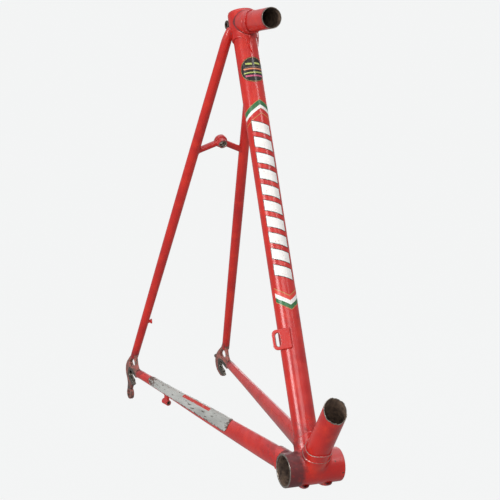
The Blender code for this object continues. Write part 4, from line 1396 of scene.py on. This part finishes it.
@dataclass
class Dropouts(SubAssembly):
    """Forged dropouts with their axle slots, and the left one's adjuster screw."""

    slot_angle: float = 24.0
    slot_r: float = 5.0
    hanger_r: float = 8.2
    hanger_hole_r: float = 4.6
    screw_r: float = 1.3
    screw_hole_r: float = 1.6
    cell: float = 0.45

    def build(self) -> None:
        """Make both dropouts and the screw."""
        for side in Side:
            self.forging(side)
        self.adjuster()

    @property
    def hanger(self) -> Array:
        """Centre of the derailleur's bolt hole, X and Z."""
        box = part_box("right_dropout")
        x = MOUNTS["derailleur_hanger_face"]["pos_m"][0] / MM + (self.hanger_r + self.hanger_hole_r) / 2.0
        return np.array([x, box[0].z / MM + self.hanger_r])

    def outline(self, side: Side) -> Array:
        """The forging's outline, X and Z: front edge, slot, lower arm, back edge."""
        seat = np.array(self.bones.slot_seat)
        angle = math.radians(self.slot_angle)
        back = np.array([-math.cos(angle), math.sin(angle)])
        down = np.array([-math.sin(angle), -math.cos(angle)])
        tail = math.degrees(math.atan2(down[1], down[0]))
        front = [(-415.0, 89.0), (-404.0, 84.0), (-404.9, 80.0), (-404.4, 76.0), (-402.8, 71.0),
                 (-399.6, 66.4),
                 (-395.0, 63.6), (-389.0, 62.4), (-389.0, 54.0), (-397.0, 54.5)]
        parts = [np.array(front), [seat - back * 19.0 - down * self.slot_r]]
        parts.append(arc(seat, self.slot_r, tail - 180.0, tail))
        parts.append([seat - back * 8.0 + down * self.slot_r, seat - back * 9.0 + down * (self.slot_r + 2.5)])
        if side is Side.RIGHT:
            parts.append([(-415.5, 42.3), (-419.0, 40.4), (-424.0, 39.2), (-427.2, 36.6)])
            parts.append(arc(self.hanger, self.hanger_r, 50.0, -215.0, 48))
            parts.append([(-439.6, 37.0), (-438.4, 40.5)])
        else:
            parts.append([(-415.5, 42.3), (-419.5, 40.2), (-425.5, 40.0), (-431.0, 42.2)])
        parts.append(self.back_edge())
        return np.concatenate([np.array(part, float) for part in parts])

    def back_edge(self) -> Array:
        """The forging's rounded back edge, from the lower arm up to the seatstay."""
        knots = np.array([(-439.8, 47.0), (-443.9, 53.0), (-445.2, 59.5), (-443.6, 66.0), (-438.0, 72.2),
                          (-429.5, 77.6), (-420.5, 82.6)])
        share = np.linspace(0.0, 1.0, 40)
        knot_share = np.linspace(0.0, 1.0, len(knots))
        edge = np.column_stack([np.interp(share, knot_share, column) for column in knots.T])
        soft = np.array([1.0, 2.0, 3.0, 2.0, 1.0]) / 9.0
        inner = np.column_stack([np.convolve(column, soft, "valid") for column in edge.T])
        return np.vstack((edge[:1], inner, edge[-1:]))

    def forging(self, side: Side) -> None:
        """One dropout: a plate with a raised clamping face, a window and two fillet-brazed tangs."""
        bones = self.bones
        normal = Axis((0.0, side.value * bones.plate_y, 0.0), (0, 1, 0), (1, 0, 0))
        turned = np.array([1.0, -1.0])          # the normal's own side direction is down
        window = smooth_loop([(-427.0, 72.2), (-420.6, 76.9), (-412.8, 78.4), (-407.9, 76.0), (-406.0, 71.4),
                              (-409.2, 67.6), (-416.4, 67.0), (-423.8, 68.4)])
        body = Solid.plate(normal, self.outline(side) * turned, [window * turned],
                           bones.plate_t / 2.0 - 0.25, 0.9)
        pad = Axis((bones.slot_seat[0], side.value * bones.plate_y, bones.slot_seat[1]), (0, 1, 0), (1, 0, 0))
        boss = Solid.bar(pad, -bones.plate_t / 2.0, bones.plate_t / 2.0, 15.5, 0.5)
        body = body.join(boss.keep(body.grown(0.25)), 0.3)
        if side is Side.RIGHT:
            eye = Axis((self.hanger[0], side.value * bones.plate_y, self.hanger[1]), (0, 1, 0), (1, 0, 0))
            ring_face = Solid.bar(eye, -bones.plate_t / 2.0, bones.plate_t / 2.0, self.hanger_r - 0.4, 0.5)
            body = body.join(ring_face, 0.3).cut(Solid.bar(eye, -9.0, 9.0, self.hanger_hole_r, 0.1), 0.7)
        body = body.cut(Solid.bar(bones.screw(side), 2.0, 40.0, self.screw_hole_r, 0.1), 0.3)
        for stay in (Solid.bar(bones.seatstay(side), 0.0, 60.0, 4.9, 0.1),
                     Solid.bar(bones.chainstay(side), bones.chainstay_length - 60.0,
                               bones.chainstay_length, 5.3, 0.1)):
            body = body.brazed(stay, 1.6)
        shape = skin_over(body, f"{side.word}_dropout", self.cell, (1, 0.5, 1), (0, 0.5, 0))

        def slot_metal(points: Array) -> Array:
            """Scraped metal around the axle slot."""
            x, z = points[:, 0] - bones.slot_seat[0], points[:, 2] - bones.slot_seat[1]
            angle = math.radians(self.slot_angle)
            along, off = x * math.cos(angle) - z * math.sin(angle), x * math.sin(angle) + z * math.cos(angle)
            reach = np.hypot(np.minimum(along, 0.0), off)
            clamped = fade(reach, 13.5, 8.0) * (along < 18.0) * fade(z, 12.0, 6.0)
            return np.maximum(clamped, 0.3 * fade(points[:, 2], 50.0, 44.0))

        def oil(points: Array) -> Array:
            """Chain oil low on the forging and at its back."""
            return np.maximum(0.5 * fade(points[:, 2], 52.0, 42.0), 0.4 * fade(points[:, 0], -430.0, -441.0))
        self.builder.add(f"{side.word}_dropout_visual", shape, "oiled_forging", Slot.DROPOUT,
                         nodes=[f"{side.word}_dropout"], masks={"bare": slot_metal, "grime_and_shade": oil})

    def adjuster(self) -> None:
        """The left axle adjuster: a threaded screw with a slotted round head."""
        axis = self.bones.screw(Side.LEFT)
        body = Solid.bar(axis, 22.6, 25.9, 2.6, 0.6)
        body = body.cut(Solid.block(axis, (25.0, 27.0), (-3.0, 3.0), (-0.4, 0.4), 0.1), 0.2)

        def thread(station: Array) -> Array:
            """Radius of the screw, with its thread."""
            return self.screw_r - 0.14 + 0.14 * np.cos(2.0 * math.pi * station / 0.8)
        body = body.join(Solid.bar(axis, 1.5, 23.0, thread, 0.3))
        shape = skin_over(body, "left_adjuster_screw", 0.2)
        self.builder.add("left_adjuster_screw_visual", shape, "zinc_plated_steel", Slot.STEEL, "adjuster",
                         ["left_adjuster_screw"])


@dataclass
class BrakeBridge(SubAssembly):
    """Brake bridge: a flanged barrel and two arms brazed to the seatstays."""

    flange_r: float = 8.2
    neck_r: float = 6.0
    bolt_r: float = 3.1
    nut_r: float = 4.1
    arm_r: float = 3.9
    stay_share: float = 0.7015          # where the arms meet the seatstays, of the stay's length
    stay_r: float = 6.47

    def build(self) -> None:
        """Make the barrel and both arms."""
        axis = self.bones.barrel
        flange = Solid.bar(axis, -4.2, 1.2, self.flange_r, 0.8)
        barrel = flange.join(Solid.bar(axis, -3.0, 7.6, self.neck_r, 0.5), 2.2)
        bolt = Solid.bar(axis, -20.0, 20.0, self.bolt_r).join(Solid.bar(axis, 1.0, 20.0, self.nut_r, 0.1))
        shape = skin_over(barrel.cut(bolt, 0.4), "brake_bridge_barrel", 0.35)

        def rim(points: Array) -> Array:
            """Bare metal at the end of the neck and around the bolt."""
            station, radius, _ = axis.polar(points)
            return np.maximum(0.55 * fade(station, 7.0, 7.5), 0.7 * fade(radius, 4.5, 4.2))
        self.builder.add("brake_bridge_barrel_visual", shape, nodes=["brake_bridge_barrel"],
                         masks={"bare": rim, "grime_and_shade": rim, "wear": even(0.5),
                                "bore": bore_mask(axis, self.nut_r - 0.1)})
        for side in Side:
            self.arm(side, barrel)

    def arm(self, side: Side, barrel: Solid) -> None:
        """One arm, with braze fillets at both of its ends."""
        stay = self.bones.seatstay(side)
        start = self.bones.barrel.point(-0.5)
        joint = stay.point(self.bones.seatstay_length * self.stay_share)
        axis = Axis(start, joint - start, (1, 0, 0))
        length = float(np.linalg.norm(joint - start))
        tube = Solid.bar(stay, 0.0, self.bones.seatstay_length, self.stay_r)
        core = Solid.bar(self.bones.barrel, -4.2, 7.6, self.neck_r - 0.5)
        reach = Solid.bar(axis, 3.0, length + 6.0, self.arm_r + 2.4, 0.5)
        body = Solid.bar(axis, 2.0, length, self.arm_r, 0.1).join(barrel, 1.6).cut(barrel).cut(core)
        body = body.brazed(tube, 1.8).keep(reach, 0.3)
        node = f"brake_bridge_{side.word}_arm"
        shape = skin_over(body, node, 0.38, 2.5, 2.5)
        self.builder.add(f"{node}_visual", shape, nodes=[node], masks={"wear": even(0.4)})


@dataclass
class Fittings(SubAssembly):
    """Small brazed-on pieces: derailleur tab, housing stop and chain peg."""

    tab_station: float = 150.0
    tab_t: float = 3.4
    tab_bed: float = 12.8
    tab_w: float = 22.0
    tab_h: float = 24.0
    tab_inner: float = -3.5
    stop_x: float = -315.0
    stop_drop: float = 16.0
    peg_z: float = 133.0

    def build(self) -> None:
        """Make the three pieces."""
        self.tab()
        self.stop()
        self.peg()

    def tab(self) -> None:
        """Front derailleur tab: a slotted plate, curved on its back to sit on the seat tube."""
        bones = self.bones
        face = np.array(MOUNTS["front_derailleur_face"]["axis"])
        out = np.cross(face, bones.up_seat)
        start = bones.seat.point(self.tab_station)
        axis = Axis(start + face * (self.tab_bed + self.tab_t / 2.0), face, out)
        way = float(np.sign(np.dot(axis.side, bones.up_seat)))
        outer, top, corner = self.tab_inner + self.tab_w, self.tab_h / 2.0, 5.5
        outline = np.concatenate((arc((outer - corner, top - corner), corner, 90, 0),
                                  arc((outer - corner, corner - top), corner, 0, -90),
                                  arc((self.tab_inner + 1.5, 1.5 - top), 1.5, -90, -180, 6),
                                  arc((self.tab_inner + 1.5, top - 1.5), 1.5, 180, 90, 6))) * (1.0, way)
        slot = np.concatenate((arc((11.8, 5.0), 3.0, 180, 0), arc((11.8, -5.0), 3.0, 0, -180))) * (1.0, way)
        tube = Solid.bar(bones.seat, 60.0, 240.0, bones.seat_r)
        body = Solid.plate(axis, outline, [slot], self.tab_t / 2.0, 0.8)
        root = Solid.block(axis, (-4.5, 0.0), (-3.0, 4.5), (-10.5, 10.5), 1.2)
        body = body.join(root, 1.5).brazed(tube, 1.8)
        limit = Solid.block(axis, (-9.0, self.tab_t / 2.0), (self.tab_inner - 1.0, 30.0), (-13.0, 13.0), 0.4)
        shape = skin_over(body.keep(limit, 0.2), "front_derailleur_tab", 0.4, 3, 3)

        def slot_edge(points: Array) -> Array:
            """Bare metal along the slot."""
            station, across, sideways = axis.local(points)
            gap = outline_distance(np.column_stack((across, sideways)), slot)
            return 0.62 * fade(gap, 1.2, 0.1) * (station > -3)
        self.builder.add("front_derailleur_tab_visual", shape, nodes=["front_derailleur_tab"],
                         masks={"bare": slot_edge, "grime_and_shade": lambda points: 0.4 * slot_edge(points),
                                "wear": even(0.4)})

    def stop(self) -> None:
        """Housing stop: a stepped barrel on a foot, brazed under the right chainstay."""
        bones = self.bones
        stay = bones.chainstay(Side.RIGHT)
        front, rear = bones.chainstay_front[0], bones.chainstay_rear[0]
        station = bones.chainstay_length * (self.stop_x - front) / (rear - front)
        tall, wide = Stays(bones, self.builder).chain_section(station)
        axis = Axis(stay.point(station, -self.stop_drop), stay.along, (0, 0, 1))
        body = Solid.bar(axis, -6.0, 6.4, 3.8, 0.5).join(Solid.bar(axis, 5.2, 6.4, 4.1, 0.3), 0.3)
        foot = Solid.block(axis, (-4.5, 4.5), (2.5, self.stop_drop - tall + 2.5), (-1.7, 1.7), 0.7)
        tube = Solid.oval(stay, station - 30.0, station + 30.0, tall, wide)
        body = body.join(foot, 1.2).brazed(tube, 1.5)
        body = body.cut(Solid.bar(axis, -20.0, 20.0, 1.5, 0.1), 0.2)
        body = body.cut(Solid.bar(axis, -3.0, 20.0, 2.6, 0.1), 0.3)
        shape = skin_over(body.keep(Solid.block(axis, (-7.0, 7.0), (-5.0, 20.0), (-4.3, 4.3))),
                          "rear_derailleur_cable_stop", 0.3, 1.5, 1.5)
        self.builder.add("rear_derailleur_cable_stop_visual", shape, nodes=["rear_derailleur_cable_stop"],
                         masks={"bore": bore_mask(axis, 2.7),
                                "wear": even(0.8)})

    def peg(self) -> None:
        """Chain peg: a small mushroom inside the right seatstay."""
        bones = self.bones
        stay = bones.seatstay(Side.RIGHT)
        rise = bones.seatstay_top[2] - bones.seatstay_foot[2]
        station = bones.seatstay_length * (self.peg_z - bones.seatstay_foot[2]) / rise
        radius = Stays(bones, self.builder).seat_radius(station)
        axis = Axis(stay.point(station), (0.35, 1.0, 0.0), (0, 0, 1))
        body = Solid.bar(axis, 2.0, 8.6, 2.2, 0.1).join(Solid.bar(axis, 8.0, 10.3, 3.3, 0.9), 0.8)
        body = body.brazed(Solid.bar(stay, station - 30.0, station + 30.0, radius), 1.2)
        limit = Solid.bar(axis, 2.0, 10.4, 4.2)
        shape = skin_over(body.keep(limit), "chain_peg", 0.26, 1.5, 1.5)
        self.builder.add("chain_peg_visual", shape, nodes=["chain_peg"], masks={"wear": even(0.6)})


# ---------------------------------------------------------------- transfers and film
Place = Callable[[Array, float], Array]


def divided(outline: Array, step: float) -> Array:
    """A closed outline with extra points, so that none is more than a step from the next."""
    parts = []
    for start, end in zip(outline, np.roll(outline, -1, axis=0)):
        count = max(1, math.ceil(float(np.linalg.norm(end - start)) / step))
        parts.append(start + (end - start) * np.arange(count)[:, None] / count)
    return np.concatenate(parts)


def leaf(outline: Array, place: Place, low: float, high: float, hole: Optional[Array] = None) -> Shape:
    """A thin closed leaf, cut flat and bent on to a tube.

    Args:
        outline: Its outline, round the tube and along it, in millimetres.
        place: Puts flat points on the tube at a height above its surface.
        low: Height of its underside.
        high: Height of its top.
        hole: Outline of a hole.

    Returns:
        The closed shape.
    """
    loops = [divided(edge, 1.2) for edge in (outline, hole) if edge is not None]
    u = np.arange(outline[:, 0].min() + 0.6, outline[:, 0].max(), 1.2)
    s = np.arange(outline[:, 1].min() + 0.9, outline[:, 1].max(), 3.0)
    grid = np.stack(np.meshgrid(u, s), axis=-1).reshape(-1, 2)

    def within(points: Array) -> Array:
        """Distance inside the outline, and outside its hole."""
        inside = outline_distance(points, loops[0])
        return inside if hole is None else np.maximum(inside, -outline_distance(points, loops[1]))
    grid = grid[within(grid) < -0.4]
    edges, first = [], 0
    for loop in loops:
        count = len(loop)
        edges += [(first + i, first + (i + 1) % count) for i in range(count)]
        first += count
    flat = [Vector(point) for point in np.concatenate(loops + [grid]).tolist()]
    points, _, faces, *_ = geometry.delaunay_2d_cdt(flat, edges, [], 0, 1e-6)
    points = np.array([tuple(point) for point in points])
    faces = np.array(faces)
    faces = faces[within(points[faces].mean(axis=1)) < 0.0]
    count = len(points)
    directed = {(face[i], face[(i + 1) % 3]) for face in faces.tolist() for i in range(3)}
    rim = [(a, b) for a, b in sorted(directed) if (b, a) not in directed]
    walls = [(b, a, a + count, b + count) for a, b in rim]
    top = (faces[:, ::-1] + count).tolist()
    return Shape(np.concatenate((place(points, low), place(points, high))), faces.tolist() + top + walls)


def merged(shapes: Sequence[Shape]) -> Shape:
    """Several shapes as one."""
    points, faces, first = [], [], 0
    for shape in shapes:
        points.append(shape.points)
        faces += [tuple(index + first for index in face) for face in shape.faces]
        first += len(shape.points)
    return Shape(np.concatenate(points), faces)


def widened(outline: Array, amount: float) -> Array:
    """A convex outline, drawn anticlockwise, moved outward."""
    before, after = np.roll(outline, 1, axis=0), np.roll(outline, -1, axis=0)
    ways = [(edge[:, ::-1] * (1.0, -1.0)) / np.linalg.norm(edge, axis=1, keepdims=True)
            for edge in (outline - before, after - outline)]
    return outline + amount * (ways[0] + ways[1]) / (1.0 + np.sum(ways[0] * ways[1], axis=1))[:, None]


@dataclass
class Decals(SubAssembly):
    """Transfers on the seat tube: a dark oval, two chevrons and a column of plain white blocks."""

    ground: float = 0.04                # underside of the lowest ink, above the enamel
    ink: float = 0.06
    oval_station: float = 478.0
    oval_half: tuple[float, float] = (17.6, 15.8)
    block_half: float = 11.0
    block_tall: float = 12.2
    block_lean: float = 4.2             # rise from one side of a block to the other, halved
    block_first: float = 398.6          # foot of the top one
    block_pitch: float = 19.6
    blocks: int = 10
    centre: float = 2.6                 # of the row, round the tube towards the drive side

    def build(self) -> None:
        """Lay down every transfer."""
        self.oval()
        self.chevrons()
        self.column()

    def on_tube(self, flat: Array, lift: float) -> Array:
        """Points on the seat tube, from millimetres round its front and stations along it."""
        angle = -flat[:, 0] / self.bones.seat_r
        radius = self.bones.seat_r + lift
        return self.bones.seat.point(flat[:, 1], radius * np.cos(angle), radius * np.sin(angle))

    def lay(self, name: str, finish: str, layer: int, outlines: Sequence[Array],
            hole: Optional[Array] = None) -> None:
        """Print one ink.

        Args:
            name: Name of the piece.
            finish: Its finish.
            layer: 0 for the lowest ink.
            outlines: Its flat outlines.
            hole: A hole in the only outline.
        """
        low = self.ground + layer * (self.ink + 0.01)
        shapes = [leaf(np.array(outline, float), self.on_tube, low, low + self.ink, hole)
                  for outline in outlines]
        self.builder.add(name, merged(shapes), finish, Slot.PAINT)

    def oval(self) -> None:
        """The oval: black, with a thin gold rim, four long bars and two short ones."""
        turn = np.linspace(0.0, 2.0 * math.pi, 72, endpoint=False)
        circle = np.column_stack((np.cos(turn), np.sin(turn)))
        centre = np.array((0.8, self.oval_station))
        half = np.array(self.oval_half)
        self.lay("seat_tube_oval", "black_vinyl", 0, [centre + circle * half])
        self.lay("seat_tube_oval_rim", "gold_vinyl", 1, [centre + circle * (half - 0.5)],
                 centre + circle * (half - 1.0))

        def bar(u: float, station: float, wide: float, tall: float, lean: float = 0.0) -> Array:
            """A slanting bar about the oval's centre."""
            half_u, half_s = wide / 2.0, tall / 2.0
            return centre + (u, station) + np.array([(-half_u, -half_s - lean), (half_u, -half_s + lean),
                                                     (half_u, half_s + lean), (-half_u, half_s - lean)])
        bars = {"lime": [bar(0.0, -3.8, 27.0, 1.4), bar(5.5, 7.4, 8.0, 2.2, 0.4),
                         bar(-5.5, 7.4, 8.0, 2.2, 0.4)],
                "pink": [bar(0.0, -8.0, 23.0, 1.9, 0.5)], "orange": [bar(0.0, 0.8, 26.0, 1.7, 0.5)],
                "grey": [bar(0.0, 3.2, 20.0, 0.7)]}
        for colour, outlines in bars.items():
            self.lay(f"seat_tube_oval_{colour}", f"{colour}_vinyl", 1, outlines)

    def band(self, apex: float, slope: float, high: float, low: float, reach: float) -> Array:
        """A chevron band's outline, with its apex in front; slope is the drop per millimetre outward."""
        u = np.linspace(-reach, reach, 37)
        edge = apex - slope * np.abs(u)
        return np.concatenate((np.column_stack((u, edge + low)), np.column_stack((u, edge + high))[::-1]))

    def chevrons(self) -> None:
        """One chevron above the row and one below, with hairlines."""
        bands = {"green": [("upper", 0.0, -6.0), ("lower", 0.0, -5.2)],
                 "white": [("upper", -6.0, -10.2), ("lower", 5.2, 0.0)],
                 "scarlet": [("lower", 10.2, 5.2)],
                 "gold": [("upper", 0.7, 0.1), ("upper", -16.4, -17.1), ("lower", 11.4, 10.4),
                          ("lower", -5.4, -6.1)]}
        places = {"upper": (439.6, 0.60, 23.0), "lower": (188.5, -0.62, 18.0)}
        for colour, rows in bands.items():
            outlines = []
            for where, high, low in rows:
                apex, slope, reach = places[where]
                outlines.append(self.band(apex, slope, high, low, reach))
            self.lay(f"seat_tube_chevron_{colour}", f"{colour}_vinyl", 0, outlines)

    def column(self) -> None:
        """Equal slanting white blocks with dark edges, one above the other."""
        white, edges = [], []
        half, lean, tall = self.block_half, self.block_lean, self.block_tall
        shape = np.array([(-half, -lean), (half, lean), (half, tall + lean), (-half, tall - lean)])
        for i in range(self.blocks):
            foot = np.array((self.centre, self.block_first - i * self.block_pitch))
            white.append(foot + shape)
            edges.append(foot + widened(shape, 0.8))
        self.lay("seat_tube_block_edges", "black_vinyl", 0, edges)
        self.lay("seat_tube_blocks", "white_vinyl", 1, white)


@dataclass
class ChainstayFilm(SubAssembly):
    """Silver film that guards the right chainstay from the chain, with one red stripe."""

    start: float = 128.0
    end: float = 345.0
    middle: float = 36.0                # of the film, in degrees from the stay's top outward
    spread: float = 150.0
    low: float = 0.3
    thick: float = 0.5
    corner: float = 12.0
    stripe_across: tuple[float, float] = (-3.4, 1.0)
    stripe_along: tuple[float, float] = (180.0, 250.0)
    ink: float = 0.07

    def build(self) -> None:
        """Make the film and its stripe."""
        self.film()
        self.stripe()

    def on_stay(self, flat: Array, lift: float) -> Array:
        """Points on the stay, from millimetres round the film's middle and stations along it."""
        stays = Stays(self.bones, self.builder)
        sections = np.array([stays.chain_section(station) for station in flat[:, 1]])
        tall, wide = sections.T
        angle = math.radians(self.middle) + flat[:, 0] / ((tall + wide) / 2.0)
        axis = self.bones.chainstay(Side.RIGHT)
        return axis.point(flat[:, 1], (tall + lift) * np.cos(angle), -(wide + lift) * np.sin(angle))

    def film(self) -> None:
        """The film: round-cornered, a little lifted and rippled along its edges."""
        stays = Stays(self.bones, self.builder)
        stations = np.concatenate((self.start + self.corner * (1 - np.cos(np.linspace(0.0, math.pi / 2, 9))),
                                   shared(self.start + self.corner + 4, self.end - self.corner - 4, 4.0),
                                   self.end - self.corner * (1 - np.cos(np.linspace(math.pi / 2, 0.0, 9)))))
        columns = np.linspace(-1.0, 1.0, 29)
        top, under = [], []
        for station in stations:
            away = min(station - self.start, self.end - station)
            bend = 1.0 - min(1.0, away / self.corner)
            inset = self.corner * (1.0 - math.sqrt(max(0.0, 1.0 - bend ** 2)))
            half = math.radians(self.spread / 2.0) * sum(stays.chain_section(station)) / 2.0 - inset
            half += 0.35 * math.sin(station * 0.31) + 0.25 * math.sin(station * 0.83 + 1.0)
            flat = np.column_stack((columns * half, np.full(len(columns), station)))
            curl = 0.22 * columns ** 8 * (1.0 + math.sin(station * 0.19))
            top.append(self.raised(flat, self.low + self.thick - 0.1 * columns ** 8 + curl))
            under.append(self.raised(flat, self.low - 0.15 + curl))
        rings = [np.concatenate((upper, lower[::-1])) for upper, lower in zip(top, under)]
        shape = loft(rings)
        shape.faces = [tuple(reversed(face)) for face in shape.faces]

        def dirty(points: Array) -> Array:
            """Dirt along the edges and at both ends."""
            station, across, sideways = self.bones.chainstay(Side.RIGHT).local(points)
            angle = np.degrees(np.arctan2(-sideways, across)) - self.middle
            ends = np.maximum(fade(station, self.start + 12, self.start),
                              fade(station, self.end - 40, self.end))
            return np.maximum(0.7 * fade(np.abs(angle), 62.0, 86.0), 0.75 * ends)
        self.builder.add("chainstay_film", shape, "silver_film", Slot.FILM, nodes=["chainstay_protector"],
                         masks={"grime_and_shade": dirty})

    def raised(self, flat: Array, lift: Array) -> Array:
        """Points on the stay, each at its own height."""
        base, high = self.on_stay(flat, 0.0), self.on_stay(flat, 1.0)
        return base + (high - base) * lift[:, None]

    def stripe(self) -> None:
        """A plain red stripe printed on the film."""
        left, right = self.stripe_across
        first, last = self.stripe_along
        outline = np.array([(left, first), (right, first), (right, last), (left, last)])
        low = self.low + self.thick + 0.02
        shape = leaf(outline, self.on_stay, low, low + self.ink)
        self.builder.add("chainstay_film_stripe", shape, "red_vinyl", Slot.FILM)


# ---------------------------------------------------------------- studio
@dataclass
class Studio:
    """Pale paper, large soft lights and the camera."""

    finishes: dict[str, bpy.types.Material]
    eye: tuple[float, float, float] = (1.5215, -0.7283, 0.3917)
    yaw: float = 0.4095
    pitch: float = -0.0822
    roll: float = -0.0301
    lens: float = 107.14
    floor_drop: float = 0.25            # of the paper below the frame, which stands clear of it
    reach: float = 30.0

    def build(self) -> None:
        """Set the floor, the lights, the world and the camera."""
        self.paper()
        self.lights()
        self.world()
        self.camera()

    def paper(self) -> None:
        """A large round of pale paper that curves up into a wall far away."""
        mesh = bpy.data.meshes.new("paper_floor")
        work = bmesh.new()
        bmesh.ops.create_circle(work, cap_ends=True, segments=96, radius=self.reach)
        for turn in np.radians((30.0, 60.0, 90.0)).tolist() + [math.pi / 2]:
            rim = [edge for edge in work.edges if edge.is_boundary]
            new = bmesh.ops.extrude_edge_only(work, edges=rim)["geom"]
            rise = Vector((0.0, 0.0, 8.0 * math.sin(turn)))
            for vert in (item for item in new if isinstance(item, bmesh.types.BMVert)):
                vert.co += rise + vert.co.normalized() * 6.0 * math.cos(turn)
        work.to_mesh(mesh)
        work.free()
        floor = bpy.data.objects.new("paper_floor", mesh)
        floor.location.z = CAD_BOX[0].z - self.floor_drop
        bpy.context.scene.collection.objects.link(floor)
        mesh.materials.append(self.finishes["matt_paper"])
        floor.visible_glossy = False
        floor.visible_diffuse = False

    def lights(self) -> None:
        """A broad key on the drive side, a high strip, a fill, a top light and a rear light."""
        target = Vector((-0.2, 0.0, 0.28))
        plan = (("key", (0.62, -2.45, 0.62), (0.95, 1.1), 40.0),
                ("strip", (1.95, 0.95, 2.1), (0.14, 1.3), 16.0),
                ("fill", (2.4, -0.9, 1.0), (1.4, 1.2), 19.0), ("top", (-0.2, 0.2, 2.6), (2.2, 2.2), 26.0),
                ("rear", (-2.4, 1.6, 1.2), (1.4, 1.4), 12.0))
        for name, place, size, power in plan:
            light = bpy.data.lights.new(name, "AREA")
            light.shape, light.size, light.size_y, light.energy = "RECTANGLE", size[0], size[1], power
            lamp = bpy.data.objects.new(name, light)
            lamp.location = place
            lamp.rotation_euler = (target - lamp.location).to_track_quat("-Z", "Y").to_euler()
            bpy.context.scene.collection.objects.link(lamp)

    def world(self) -> None:
        """An even grey surround, which keeps the tubes' edges dark."""
        world = bpy.data.worlds.new("surround")
        bpy.context.scene.world = world
        world.use_nodes = True
        back = world.node_tree.nodes["Background"]
        back.inputs["Color"].default_value = linear("#e9eaec")
        back.inputs["Strength"].default_value = 0.5
        bpy.context.scene.view_settings.view_transform = "Standard"

    def camera(self) -> None:
        """The camera, from its place and its three angles."""
        flat = math.cos(self.pitch)
        forward = Vector((-math.cos(self.yaw) * flat, math.sin(self.yaw) * flat, math.sin(self.pitch)))
        right = forward.cross(Vector((0.0, 0.0, 1.0))).normalized()
        up = right.cross(forward)
        cos, sin = math.cos(self.roll), math.sin(self.roll)
        columns = (cos * right + sin * up, cos * up - sin * right, -forward)
        data = bpy.data.cameras.new("camera")
        data.lens = self.lens
        data.sensor_width = 36.0
        camera = bpy.data.objects.new("camera", data)
        camera.matrix_world = Matrix.Translation(Vector(self.eye)) @ Matrix(columns).transposed().to_4x4()
        bpy.context.scene.collection.objects.link(camera)
        bpy.context.scene.camera = camera


def main() -> None:
    """Build the finishes, the sub-assemblies and the studio."""
    logging.basicConfig(level=logging.INFO, format="%(name)s: %(message)s")
    finishes = {finish.name: finish.make() for finish in FINISHES}
    bones = Skeleton()
    builder = Builder(finishes)
    for kind in (MainTubes, BottomBracket, SeatCluster, Stays, Dropouts, BrakeBridge, Fittings, Decals,
                 ChainstayFilm):
        kind(bones, builder).build()
        LOG.info("%s done", kind.__name__)
    Studio(finishes).build()
    LOG.info("%d pieces", builder.pieces)


if __name__ == "__main__":
    main()
